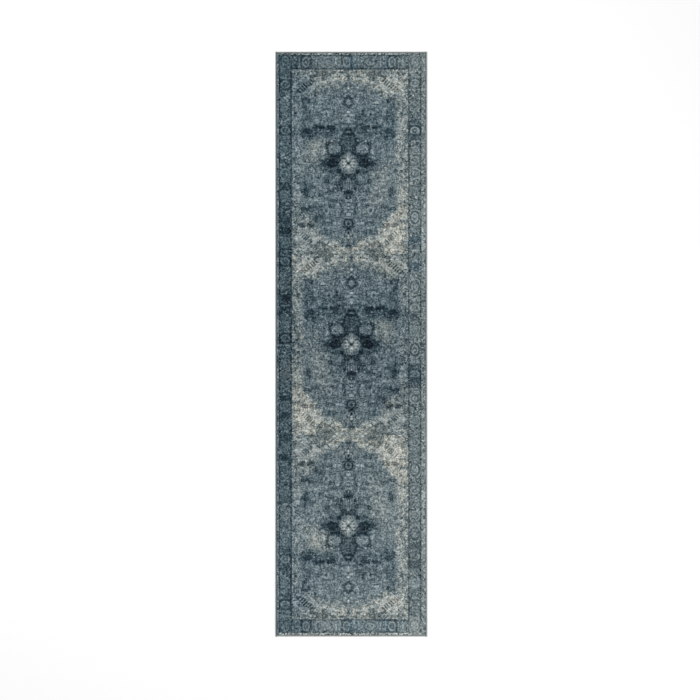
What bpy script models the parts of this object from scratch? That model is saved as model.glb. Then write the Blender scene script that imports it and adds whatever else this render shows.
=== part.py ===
"""Runner rug: a low-pile machine-woven runner with serged edges, lying flat.

Units are metres. +X is the rug's right, +Y its head end, +Z up. The origin is at the
centre of the underside. From the floor up the rug is a latex coating, the ground weave
and the pile. The pile is cut into the areas of its design: the outer guard, the main
border, and a field of three panels, each with a medallion around a rosette.
"""

import math

import bmesh
import bpy

# Overall size
RUG_WIDTH = 0.790
RUG_LENGTH = 3.045

# Layers
GAP = 0.0003               # clearance between pieces that touch
BACKING_THICKNESS = 0.0008
WEAVE_THICKNESS = 0.0022
PILE_HEIGHT = 0.0054

# Serged edges
SERGING_WALL = 0.0007      # thickness of the wrapped yarn
SERGING_WIDTH = 0.0076     # how far the wraps reach in from the edge
CORD_RADIUS = 0.0020       # filler cord inside the two long edges
ARC_STEPS = 7              # facets on each half of the round edge

# Widths of the pile areas, from the rug's outer edge inwards
GUARD_LEFT = 0.0185
GUARD_RIGHT = 0.0304
GUARD_HEAD = 0.0175
GUARD_FOOT = 0.0195
BORDER_LEFT = 0.0665
BORDER_RIGHT = 0.0686
BORDER_HEAD = 0.0750
BORDER_FOOT = 0.0700

# Field panels
END_PANEL_EXTRA = 0.018    # the two end panels are this much longer than the middle one
MEDALLION_OFFSET = 0.0080  # medallions stand left of the field's centre, the middle one right
MEDALLION_HALF_WIDTH = 0.146
MEDALLION_HALF_LENGTH = 0.200
ROSETTE_HALF_WIDTH = 0.047
ROSETTE_HALF_LENGTH = 0.053
ROSETTE_POWER = 1.25       # 1 is a lozenge, 2 an ellipse
ROSETTE_POINTS = 32

# One quarter of the medallion, from its tip to its side, as shares of its half sizes
MEDALLION_QUARTER = (
    (0.00, 1.00), (0.17, 0.86), (0.22, 0.67), (0.45, 0.66), (0.74, 0.58),
    (0.86, 0.42), (0.76, 0.27), (0.92, 0.20), (1.00, 0.07),
)

# Care label, pressed flush into the coating at a foot corner
LABEL_WIDTH = 0.060
LABEL_LENGTH = 0.035
LABEL_INSET = 0.030        # from the rug's outer edges
LABEL_THICKNESS = 0.0004

# Levels and insets that follow from the sizes above
WEAVE_BOTTOM = max(BACKING_THICKNESS, SERGING_WALL) + GAP
WEAVE_TOP = WEAVE_BOTTOM + WEAVE_THICKNESS
PILE_BOTTOM = WEAVE_TOP + GAP
PILE_TOP = PILE_BOTTOM + PILE_HEIGHT
EDGE_BAND = SERGING_WIDTH + GAP
SIDE_RADIUS = CORD_RADIUS + GAP + SERGING_WALL
END_RADIUS = (WEAVE_TOP + GAP + SERGING_WALL) / 2
HALF_WIDTH = RUG_WIDTH / 2
HALF_LENGTH = RUG_LENGTH / 2

COLLECTION_NAME = "runner_rug"


def clear_scene():
    for obj in list(bpy.data.objects):
        bpy.data.objects.remove(obj, do_unlink=True)


def rug_collection():
    collection = bpy.data.collections.get(COLLECTION_NAME)
    if collection is None:
        collection = bpy.data.collections.new(COLLECTION_NAME)
        bpy.context.scene.collection.children.link(collection)
    return collection


def linear(channel):
    """One 0-255 display colour channel as a linear value."""
    value = channel / 255
    return value / 12.92 if value <= 0.04045 else ((value + 0.055) / 1.055) ** 2.4


def material(name, colour, roughness):
    finish = bpy.data.materials.new(name)
    finish.use_nodes = True
    shader = finish.node_tree.nodes["Principled BSDF"]
    shader.inputs["Base Color"].default_value = [linear(c) for c in colour] + [1.0]
    shader.inputs["Roughness"].default_value = roughness
    shader.inputs["Metallic"].default_value = 0.0
    return finish


def add_object(name, data, finish):
    obj = bpy.data.objects.new(name, data)
    data.materials.append(finish)
    rug_collection().objects.link(obj)
    return obj


def rectangle(left, right, foot, head):
    return [(left, foot), (right, foot), (right, head), (left, head)]


def slab(name, outlines, bottom, top, finish):
    """A flat piece between two levels; the second outline, if any, is a hole."""
    curve = bpy.data.curves.new(name, "CURVE")
    curve.dimensions = "2D"
    curve.fill_mode = "BOTH"
    curve.extrude = (top - bottom) / 2
    for outline in outlines:
        spline = curve.splines.new("POLY")
        spline.points.add(len(outline) - 1)
        for point, (x, y) in zip(spline.points, outline):
            point.co = (x, y, 0.0, 1.0)
        spline.use_cyclic_u = True
    obj = add_object(name, curve, finish)
    obj.location.z = (top + bottom) / 2
    return obj


def offset_outline(points, distance):
    """The outline moved outwards by a distance; points run anticlockwise."""
    moved = []
    count = len(points)
    for index, (x, y) in enumerate(points):
        before = points[index - 1]
        after = points[(index + 1) % count]
        ax, ay = x - before[0], y - before[1]
        bx, by = after[0] - x, after[1] - y
        a_length, b_length = math.hypot(ax, ay), math.hypot(bx, by)
        nax, nay = ay / a_length, -ax / a_length
        nbx, nby = by / b_length, -bx / b_length
        scale = distance / (1 + nax * nbx + nay * nby)
        moved.append((x + (nax + nbx) * scale, y + (nay + nby) * scale))
    return moved


def medallion_outline(centre):
    """A cross with lobed arms and pointed tips, anticlockwise from its head tip."""
    quarter = [(x * MEDALLION_HALF_WIDTH, y * MEDALLION_HALF_LENGTH) for x, y in MEDALLION_QUARTER]
    head_left = [(-x, y) for x, y in quarter]
    foot_left = [(-x, -y) for x, y in reversed(quarter)]
    foot_right = [(x, -y) for x, y in quarter[1:]]
    head_right = [(x, y) for x, y in reversed(quarter[1:])]
    return [(centre[0] + x, centre[1] + y)
            for x, y in head_left + foot_left + foot_right + head_right]


def rosette_outline(centre):
    """A lozenge with swollen sides, anticlockwise."""
    points = []
    for step in range(ROSETTE_POINTS):
        angle = 2 * math.pi * step / ROSETTE_POINTS
        c, s = math.cos(angle), math.sin(angle)
        x = math.copysign(abs(c) ** (2 / ROSETTE_POWER), c) * ROSETTE_HALF_WIDTH
        y = math.copysign(abs(s) ** (2 / ROSETTE_POWER), s) * ROSETTE_HALF_LENGTH
        points.append((centre[0] + x, centre[1] + y))
    return points


def field_edges():
    """Left, right, foot and head limits of the field."""
    return (-HALF_WIDTH + GUARD_LEFT + BORDER_LEFT,
            HALF_WIDTH - GUARD_RIGHT - BORDER_RIGHT,
            -HALF_LENGTH + GUARD_FOOT + BORDER_FOOT,
            HALF_LENGTH - GUARD_HEAD - BORDER_HEAD)


def field_panels():
    """Name, foot limit, head limit and medallion centre of each panel."""
    left, right, foot, head = field_edges()
    pitch = (head - foot - 2 * END_PANEL_EXTRA) / 3
    middle_x, middle_y = (left + right) / 2, (foot + head) / 2
    low, high = middle_y - pitch / 2, middle_y + pitch / 2
    return (("head", high, head, (middle_x - MEDALLION_OFFSET, middle_y + pitch)),
            ("centre", low, high, (middle_x + MEDALLION_OFFSET, middle_y)),
            ("foot", foot, low, (middle_x - MEDALLION_OFFSET, middle_y - pitch)))


def pile_frame(prefix, outer, inner, finishes):
    """Four strips of pile around a rectangle: the long ones run the whole length."""
    left, right, foot, head = outer
    in_left, in_right, in_foot, in_head = inner
    strips = {
        "left": rectangle(left, in_left - GAP, foot, head),
        "right": rectangle(in_right + GAP, right, foot, head),
        "head": rectangle(in_left, in_right, in_head + GAP, head),
        "foot": rectangle(in_left, in_right, foot, in_foot - GAP),
    }
    for side, outline in strips.items():
        finish = material(f"{prefix}_{side}_yarn", finishes[side], 0.95)
        slab(f"{prefix}_pile_{side}", [outline], PILE_BOTTOM, PILE_TOP, finish)


def border_edges():
    """Left, right, foot and head limits of the main border's outer side."""
    return (-HALF_WIDTH + GUARD_LEFT, HALF_WIDTH - GUARD_RIGHT,
            -HALF_LENGTH + GUARD_FOOT, HALF_LENGTH - GUARD_HEAD)


def build_guard():
    outer = (-HALF_WIDTH + EDGE_BAND, HALF_WIDTH - EDGE_BAND,
             -HALF_LENGTH + EDGE_BAND, HALF_LENGTH - EDGE_BAND)
    pile_frame("guard", outer, border_edges(),
               {"left": (93, 106, 114), "right": (119, 130, 132),
                "head": (112, 119, 121), "foot": (125, 132, 134)})


def build_border():
    pile_frame("border", border_edges(), field_edges(),
               {"left": (72, 89, 96), "right": (102, 115, 119),
                "head": (92, 103, 108), "foot": (104, 116, 122)})


def build_field():
    left, right, _, _ = field_edges()
    for name, low, high, centre in field_panels():
        ends = (low if name == "foot" else low + GAP / 2,
                high if name == "head" else high - GAP / 2)
        medallion = medallion_outline(centre)
        rosette = rosette_outline(centre)
        slab(f"field_pile_{name}",
             [rectangle(left, right, *ends), offset_outline(medallion, GAP)],
             PILE_BOTTOM, PILE_TOP, material(f"field_{name}_yarn", (104, 117, 121), 0.95))
        slab(f"medallion_pile_{name}", [medallion, offset_outline(rosette, GAP)],
             PILE_BOTTOM, PILE_TOP, material(f"medallion_{name}_yarn", (66, 82, 92), 0.95))
        slab(f"rosette_pile_{name}", [rosette],
             PILE_BOTTOM, PILE_TOP, material(f"rosette_{name}_yarn", (140, 150, 148), 0.95))


def weave_end_inset():
    """How far the weave stops short of an end, to clear the round inside of the serging."""
    inner = END_RADIUS - SERGING_WALL
    reach = max(WEAVE_TOP - END_RADIUS, END_RADIUS - WEAVE_BOTTOM)
    return END_RADIUS - math.sqrt(inner ** 2 - reach ** 2) + GAP


def build_ground_weave():
    half_x = HALF_WIDTH - SIDE_RADIUS - CORD_RADIUS - GAP
    half_y = HALF_LENGTH - weave_end_inset()
    slab("ground_weave", [rectangle(-half_x, half_x, -half_y, half_y)],
         WEAVE_BOTTOM, WEAVE_TOP, material("ground_yarn", (176, 168, 150), 0.9))


def label_outline():
    left = -HALF_WIDTH + LABEL_INSET
    foot = -HALF_LENGTH + LABEL_INSET
    return rectangle(left, left + LABEL_WIDTH, foot, foot + LABEL_LENGTH)


def build_backing():
    half_x, half_y = HALF_WIDTH - EDGE_BAND, HALF_LENGTH - EDGE_BAND
    recess = offset_outline(label_outline(), GAP)
    slab("latex_backing", [rectangle(-half_x, half_x, -half_y, half_y), recess],
         0.0, BACKING_THICKNESS, material("latex", (196, 189, 172), 0.8))
    slab("care_label", [label_outline()], 0.0, LABEL_THICKNESS,
         material("label_cloth", (232, 230, 224), 0.7))


def serging_section(radius, leg_top):
    """Outer line of the wrapped yarn: distance in from the edge, height.

    It starts under the rug, turns round the edge on an arc, and leaves the arc on a
    straight leg that comes down to leg_top where the pile begins.
    """
    across, up = SERGING_WIDTH - radius, leg_top - radius
    tangent = math.atan2(up, across) + math.acos(radius / math.hypot(across, up))
    lower = [math.pi * (1.5 - 0.5 * step / ARC_STEPS) for step in range(ARC_STEPS)]
    upper = [math.pi + (tangent - math.pi) * step / ARC_STEPS for step in range(ARC_STEPS + 1)]
    points = [(SERGING_WIDTH, 0.0)]
    points += [(radius + radius * math.cos(a), radius + radius * math.sin(a)) for a in lower + upper]
    points.append((SERGING_WIDTH, leg_top))
    return points


def serging(name, section, length, along_x):
    """A wrapped edge: the section swept along one side, with a wall turned inwards."""
    mesh = bpy.data.meshes.new(name)
    shape = bmesh.new()
    verts = [shape.verts.new((inset, -length / 2, height)) for inset, height in section]
    edges = [shape.edges.new(pair) for pair in zip(verts, verts[1:])]
    swept = bmesh.ops.extrude_edge_only(shape, edges=edges)
    ends = [item for item in swept["geom"] if isinstance(item, bmesh.types.BMVert)]
    bmesh.ops.translate(shape, verts=ends, vec=(0.0, length, 0.0))
    bmesh.ops.recalc_face_normals(shape, faces=shape.faces)
    shape.to_mesh(mesh)
    shape.free()
    mesh.shade_smooth()
    mesh.set_sharp_from_angle(angle=math.radians(40))
    obj = add_object(name, mesh, material(f"{name}_yarn", (104, 114, 120), 0.85))
    wall = obj.modifiers.new("wall", "SOLIDIFY")
    wall.thickness = SERGING_WALL
    wall.use_even_offset = True
    wall.offset = outward_offset(mesh)
    obj.rotation_euler.z = -math.pi / 2 if along_x else 0.0
    return obj


def outward_offset(mesh):
    """Solidify's offset that grows the wall to the inside of the bend.

    The face next to the outermost point faces away from the rug, towards -X, when the
    surface's normals point out; the wall then goes against them.
    """
    outermost = min(mesh.polygons, key=lambda face: face.center.x)
    return -1.0 if outermost.normal.x < 0 else 1.0


def build_side_serging():
    leg_top = WEAVE_TOP + GAP + SERGING_WALL * 1.2
    section = serging_section(SIDE_RADIUS, leg_top)
    left = serging("edge_serging_left", section, RUG_LENGTH, along_x=False)
    left.location.x = -HALF_WIDTH
    right = serging("edge_serging_right", section, RUG_LENGTH, along_x=False)
    right.rotation_euler.z = math.pi
    right.location.x = HALF_WIDTH


def build_end_serging():
    section = serging_section(END_RADIUS, 2 * END_RADIUS)
    length = RUG_WIDTH - 2 * EDGE_BAND
    head = serging("edge_serging_head", section, length, along_x=True)
    head.location.y = HALF_LENGTH
    foot = serging("edge_serging_foot", section, length, along_x=True)
    foot.rotation_euler.z = math.pi / 2
    foot.location.y = -HALF_LENGTH


def build_edge_cords():
    """Filler cords inside the serging of the two long edges."""
    for side, sign in (("left", -1), ("right", 1)):
        curve = bpy.data.curves.new(f"edge_cord_{side}", "CURVE")
        curve.dimensions = "3D"
        curve.bevel_depth = CORD_RADIUS
        curve.bevel_resolution = 4
        curve.use_fill_caps = True
        spline = curve.splines.new("POLY")
        spline.points.add(1)
        reach = HALF_LENGTH - GAP
        spline.points[0].co = (0.0, -reach, 0.0, 1.0)
        spline.points[1].co = (0.0, reach, 0.0, 1.0)
        cord = add_object(f"edge_cord_{side}", curve, material(f"cord_{side}", (200, 194, 180), 0.9))
        cord.location = (sign * (HALF_WIDTH - SIDE_RADIUS), 0.0, SIDE_RADIUS)


def main():
    clear_scene()
    build_backing()
    build_ground_weave()
    build_edge_cords()
    build_side_serging()
    build_end_serging()
    build_guard()
    build_border()
    build_field()


main()
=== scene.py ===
"""Looks of a woven runner rug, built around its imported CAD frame.

Everything is in metres, z up. The rug lies on z = 0 with its head toward +Y. Every knot of the pile gets its
tone from a weaver's drawing: one field panel used three times, a main border of blocks and cartouches, and a
narrow guard stripe. The pile is cut from one grid of knots, so neighbouring areas meet knot to knot.
"""

import logging
import math
from collections.abc import Iterable, Sequence
from dataclasses import dataclass, field, replace
from enum import Enum
from typing import ClassVar

import bpy
import numpy as np
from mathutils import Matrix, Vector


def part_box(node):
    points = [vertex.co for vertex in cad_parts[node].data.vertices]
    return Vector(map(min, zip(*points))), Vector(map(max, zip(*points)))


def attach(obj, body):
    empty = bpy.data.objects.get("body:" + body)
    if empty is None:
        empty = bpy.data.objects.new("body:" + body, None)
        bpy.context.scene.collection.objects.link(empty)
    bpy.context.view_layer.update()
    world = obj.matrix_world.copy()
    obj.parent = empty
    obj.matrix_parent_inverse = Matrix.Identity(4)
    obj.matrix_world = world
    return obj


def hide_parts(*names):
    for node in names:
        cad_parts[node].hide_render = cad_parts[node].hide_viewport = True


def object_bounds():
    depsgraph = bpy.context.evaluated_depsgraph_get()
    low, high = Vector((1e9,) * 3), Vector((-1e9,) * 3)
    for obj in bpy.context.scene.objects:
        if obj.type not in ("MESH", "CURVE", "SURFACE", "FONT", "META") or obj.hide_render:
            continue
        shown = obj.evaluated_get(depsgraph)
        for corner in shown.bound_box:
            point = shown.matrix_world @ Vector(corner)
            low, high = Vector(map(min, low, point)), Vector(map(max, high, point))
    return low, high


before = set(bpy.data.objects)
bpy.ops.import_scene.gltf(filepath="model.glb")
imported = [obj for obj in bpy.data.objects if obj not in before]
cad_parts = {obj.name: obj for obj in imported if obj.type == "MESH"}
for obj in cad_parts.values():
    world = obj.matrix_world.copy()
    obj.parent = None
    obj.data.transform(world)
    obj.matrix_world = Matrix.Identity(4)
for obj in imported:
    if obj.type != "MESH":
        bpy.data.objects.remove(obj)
CAD_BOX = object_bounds()
LOG = logging.getLogger("runner_rug")
BODY = "root"
MM = 0.001
KNOT = 0.0025
SOFTNESS = 2.4
GEM_SLOPE = 0.7
WASH_FALL = 0.8
CONTRAST = 40.0
WHITE = 255.0
Rgb = tuple[float, float, float]
Grid = np.ndarray


# ---------------------------------------------------------------------------------------------------------
# The weaver's drawing. Lengths are in millimetres and tones in steps, from -2, darkest, to 2, lightest.
# ---------------------------------------------------------------------------------------------------------


class Shape(Enum):
    """The outlines that the drawing is put together from."""

    DOT = "dot"
    RING = "ring"
    BAR = "bar"
    GEM = "gem"
    HATCH = "hatch"


D, R, B, G, H = Shape.DOT, Shape.RING, Shape.BAR, Shape.GEM, Shape.HATCH


@dataclass(frozen=True)
class Mark:
    """One figure of the drawing, at (x, y) from its panel's centre. A ring's or hatch's line has a width."""

    shape: Shape
    x: float
    y: float
    half_x: float
    half_y: float
    tone: float
    turn: float = 0.0
    line: float = 5.0

    def mirrored(self) -> "Mark":
        """The same figure on the other side of the long axis."""
        return replace(self, x=-self.x, turn=-self.turn)

    def reach(self) -> float:
        """How far from its centre the figure may touch a knot."""
        return math.hypot(self.half_x, self.half_y) + self.line / 2 + SOFTNESS

    def cover(self, x: Grid, y: Grid) -> Grid:
        """How much of each knot the figure covers.

        Args:
            x: places across the panel.
            y: places along the panel.

        Returns:
            Shares from 0 to 1, one for each knot.
        """
        angle = math.radians(self.turn)
        dx, dy = x - self.x, y - self.y
        u = math.cos(angle) * dx + math.sin(angle) * dy
        v = math.cos(angle) * dy - math.sin(angle) * dx
        small = min(self.half_x, self.half_y)
        if self.shape in (D, R):
            outside = (np.hypot(u / self.half_x, v / self.half_y) - 1) * small
            if self.shape is R:
                outside = np.abs(outside) - self.line / 2
        elif self.shape is G:
            outside = (np.abs(u) / self.half_x + np.abs(v) / self.half_y - 1) * small * GEM_SLOPE
        else:
            outside = np.maximum(np.abs(u) - self.half_x, np.abs(v) - self.half_y)
        cover = np.clip(0.5 - outside / SOFTNESS, 0, 1)
        if self.shape is H:
            cover = cover * (0.5 + 0.5 * np.sin(2 * np.pi * u / self.line))
        return cover


def marks(*rows: Sequence) -> tuple[Mark, ...]:
    """The figures of a table, one to a row."""
    return tuple(Mark(*row) for row in rows)


@dataclass
class Drawing:
    """Tones of the knots whose centres stand at xs across and ys along."""

    xs: Grid
    ys: Grid
    tone: Grid = field(init=False)

    def __post_init__(self) -> None:
        """Starts from a blank sheet."""
        self.tone = np.zeros((len(self.ys), len(self.xs)))

    def paint(self, marks: Iterable[Mark], weight: float = 1.0, twofold: bool = False) -> None:
        """Lays figures over what is there.

        Args:
            marks: the figures, in the order they are laid.
            weight: 1 hides what is under a figure, and less lets it show through.
            twofold: lays each figure's mirror image as well.
        """
        for mark in marks:
            for figure in (mark, mark.mirrored()) if twofold else (mark,):
                reach = figure.reach()
                across = np.flatnonzero(np.abs(self.xs - figure.x) <= reach)
                along = np.flatnonzero(np.abs(self.ys - figure.y) <= reach)
                if not across.size or not along.size:
                    continue
                part = np.s_[along[0] : along[-1] + 1, across[0] : across[-1] + 1]
                cover = figure.cover(self.xs[None, part[1]], self.ys[part[0], None])
                self.tone[part] += weight * cover * (figure.tone - self.tone[part])

    def wash(self, patches: Iterable["Wash"], twofold: bool = False) -> None:
        """Adds soft patches of tone.

        Args:
            patches: the patches.
            twofold: adds each patch's mirror image as well.
        """
        for patch in patches:
            for x in (patch.x, -patch.x) if twofold and patch.x else (patch.x,):
                across = np.exp(-(((self.xs - x) / patch.half_x) ** 2) * WASH_FALL)
                along = np.exp(-(((self.ys - patch.y) / patch.half_y) ** 2) * WASH_FALL)
                self.tone += patch.tone * along[:, None] * across[None, :]


@dataclass(frozen=True)
class Wash:
    """A soft patch, where dye and wear have made the pile lighter or darker."""

    x: float
    y: float
    half_x: float
    half_y: float
    tone: float


def washes(*rows: Sequence[float]) -> tuple[Wash, ...]:
    """The soft patches of a table, one to a row."""
    return tuple(Wash(*row) for row in rows)



# ---------------------------------------------------------------------------------------------------------
# The figures of one field panel, right of its long axis. Each is laid on both sides of it.
# ---------------------------------------------------------------------------------------------------------


ROSETTE = marks(
    (G, 0, 0, 52, 58, 0.9), (G, 0, 0, 43, 49, 0.8), (B, 14, 14, 2.5, 20, -1.2, -45),
    (B, 14, -14, 2.5, 20, -1.2, 45), (D, 0, 0, 7, 7, -1.6), (D, 33, 18, 5, 5, 1.2), (D, 33, -19, 5, 5, 1.1),
    (D, 0, 26, 5, 12, 2.0), (D, 0, -27, 5, 12, 2.2), (D, 23, 0, 11, 5, 2.0), (D, 21, 17, 6, 6, 2.0),
    (D, 21, -17, 6, 6, 2.0), (D, 7, 42, 4, 6, 1.6), (D, 7, -44, 4, 6, 1.6), (D, 19, -22, 5, 3, -1.6),
    (D, 30, 7, 4, 3, -1.6), (D, 19, 24, 3, 5, -1.5), (D, 30, -8, 4, 3, -1.4), (D, 9, 40, 3, 4, -1.4),
    (D, 9, -40, 3, 4, -1.4), (D, 0, 32, 3, 4, 0.4), (D, 0, -30, 3, 4, 0.4), (D, 9, 8, 3, 6, -0.6, -45),
    (D, 9, -8, 3, 6, -0.6, 45),
)
ARMS = marks(
    (D, 98, 2, 50, 27, -1.75), (D, 75, 0, 9, 7, -0.7), (D, 110, 17, 6, 6, 1.4), (D, 110, -18, 7, 6, 1.7),
    (D, 92, 26, 9, 5, -0.3), (D, 128, 2, 6, 5, -0.2), (D, 125, -33, 13, 5, -2.0),
    (D, 40, -48, 26, 7, -2.0, 45), (D, 62, -36, 14, 5, -1.0), (D, 40, 44, 26, 8, -1.8, -45),
    (D, 72, 42, 24, 7, -1.3, -12), (D, 145, 15, 5, 8, -1.4), (D, 145, -8, 5, 8, -1.2),
)
BLOSSOMS = marks(
    (R, 74, 78, 40, 38, -1.7, 0, 14), (R, 69, -77, 37, 33, -1.5, 0, 11), (D, 72, 76, 33, 23, 0.9),
    (D, 62, 72, 12, 12, 2.0), (D, 95, 80, 9, 10, 1.7), (D, 78, 78, 9, 7, 0.1), (D, 70, 50, 9, 8, 0.3),
    (D, 107, 74, 5, 22, -2.0), (D, 44, 98, 27, 6, -1.6, 45), (D, 62, 119, 16, 5, -1.2, -35),
    (D, 110, 103, 14, 11, -1.9), (D, 97, 120, 8, 4, -1.7, 30), (D, 110, 104, 3, 3, 1.0),
    (D, 88, 117, 7, 6, 1.5), (D, 126, 113, 5, 8, 1.0), (D, 125, 60, 11, 14, 2.0), (D, 134, 28, 10, 10, 1.2),
    (D, 120, 33, 7, 6, 0.9), (D, 64, -70, 24, 20, 0.8), (D, 60, -76, 12, 10, 1.9),
    (D, 72, -40, 5, 16, 0.8, 30), (D, 92, -62, 15, 10, 0.4, 20), (D, 112, -92, 15, 11, -1.9),
    (D, 111, -92, 3, 3, 1.0), (D, 122, -55, 12, 5, 1.4, 10), (D, 132, -62, 5, 9, 1.3),
    (D, 93, -118, 6, 11, 1.7, -30), (D, 108, -122, 7, 6, 1.2), (R, 67, -125, 9, 9, -1.8, 0, 5),
    (D, 67, -118, 3, 3, 1.5), (D, 73, -130, 3, 3, 1.4), (R, 41, -104, 10, 11, -1.8, 0, 5),
    (D, 41, -103, 5, 6, 0.6), (D, 112, -150, 9, 5, -1.9), (D, 92, -148, 14, 4, -1.2),
)
STEM_HEAD = marks(
    (D, 0, 122, 42, 58, -1.4), (G, 0, 112, 32, 44, 0.5), (G, 0, 112, 22, 34, -1.0),
    (D, 19, 126, 13, 19, 0.1), (D, 0, 118, 4, 18, 1.0), (D, 0, 84, 14, 16, -0.5), (B, 0, 152, 25, 7, -2.0),
    (D, 26, 152, 8, 6, -1.6), (D, 0, 166, 7, 7, 2.0), (D, 13, 178, 9, 6, -1.9, -25),
    (D, 0, 187, 6, 5, -1.9), (D, 22, 170, 4, 4, 0.8), (D, 33, 196, 10, 4, 1.3, 40),
    (D, 38, 160, 5, 12, 1.3, -20), (D, 55, 139, 18, 3, 1.4), (D, 50, 150, 6, 4, 0.8),
    (D, 15, 198, 9, 3, 1.2, -20), (D, 0, 204, 5, 6, -0.6),
)
STEM_FOOT = marks(
    (D, 0, -108, 46, 56, -1.5), (D, 0, -92, 26, 26, -0.9), (D, 0, -83, 9, 8, 1.0), (D, 15, -66, 5, 5, 0.7),
    (B, 0, -122, 30, 30, -0.6), (B, 24, -116, 2.5, 26, 1.6), (B, 12, -120, 2.5, 34, 1.6),
    (B, 0, -122, 2.5, 36, 1.3), (B, 37, -118, 5, 30, -1.8), (D, 0, -163, 21, 26, -1.9),
    (D, 26, -150, 8, 12, -1.6), (D, 0, -168, 4, 8, 0.5), (D, 30, -150, 5, 18, 1.0, 15),
    (D, 14, -190, 8, 4, 1.2, -40),
)
AXIS = marks(
    (D, 0, 266, 9, 13, 2.0), (D, 22, 250, 12, 5, 2.0, -12), (D, 0, 247, 6, 5, -2.0),
    (D, 0, 226, 6, 14, 2.0), (D, 20, 226, 9, 12, 0.2), (D, 36, 232, 5, 10, -1.0), (D, 20, 206, 12, 4, -1.2),
    (D, 20, 280, 8, 5, 0.6, 60), (D, 0, 320, 27, 31, -1.9), (G, 0, 318, 17, 21, 0.9),
    (D, 0, 316, 7, 8, 0.4), (B, 0, 341, 29, 4, -1.8), (D, 0, 348, 8, 6, -1.9), (D, 18, 351, 5, 5, 1.4),
    (D, 35, 352, 8, 6, -1.4, 40), (D, 0, 373, 7, 6, -2.0), (D, 21, 379, 9, 6, 1.8, 20),
    (D, 0, 392, 5, 7, 1.8), (D, 13, 404, 9, 5, -1.9), (D, 30, 400, 8, 6, -0.6), (D, 0, 426, 18, 14, -0.7),
    (D, 0, 450, 10, 9, -2.0), (D, 17, 444, 10, 4, -1.7, -35), (D, 25, 447, 6, 6, 1.9),
    (D, 30, 424, 9, 4, 0.8, 30), (D, 50, 464, 7, 6, 1.8), (D, 38, 458, 9, 3, -1.2, 40),
    (D, 0, 484, 6, 8, -1.5), (D, 48, 325, 4, 13, 1.7, -35), (D, 53, 303, 4, 13, 1.6, 30),
    (D, 54, 340, 8, 6, 1.5), (D, 60, 290, 10, 5, 1.4), (D, 0, -213, 6, 6, 1.9),
    (D, 15, -226, 8, 4, 1.4, 20), (D, 0, -231, 7, 3, 1.6), (D, 0, -240, 10, 3, -1.5),
    (D, 14, -249, 10, 5, 1.6, -15), (D, 0, -256, 6, 3, -0.8), (G, 0, -270, 15, 16, 2.0),
    (D, 36, -250, 5, 18, -1.7, 20), (D, 39, -215, 9, 11, -1.9), (D, 56, -216, 6, 10, 2.0),
    (D, 55, -238, 5, 8, 1.2), (D, 25, -206, 9, 3, -0.8), (D, 86, -219, 17, 8, -1.8),
    (D, 84, -222, 4, 5, 0.3), (D, 85, -193, 15, 11, -0.9), (R, 0, -311, 22, 23, -2.0, 0, 9),
    (R, 0, -311, 12, 13, 0.5, 0, 5), (D, 0, -312, 4, 9, -0.9), (D, 25, -329, 7, 6, -1.9),
    (D, 12, -336, 6, 3, 0.8), (D, 0, -340, 8, 8, -1.9), (D, 0, -361, 6, 7, -2.0), (D, 0, -382, 5, 11, 2.0),
    (D, 8, -392, 3, 12, -1.4, -25), (D, 0, -400, 5, 6, -1.6), (D, 12, -369, 5, 6, 1.0),
    (D, 20, -376, 4, 6, -0.8), (D, 47, -308, 11, 10, 1.9), (D, 71, -310, 9, 8, 1.9),
    (D, 60, -293, 8, 6, 0.3), (D, 22, -395, 4, 4, -1.3), (D, 0, -436, 17, 22, -1.4),
    (D, 25, -446, 16, 4, 1.6, 35), (D, 12, -462, 12, 3, -1.2, 35), (D, 0, -462, 4, 4, 0.5),
    (D, 45, -440, 10, 7, 1.2),
)
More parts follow.
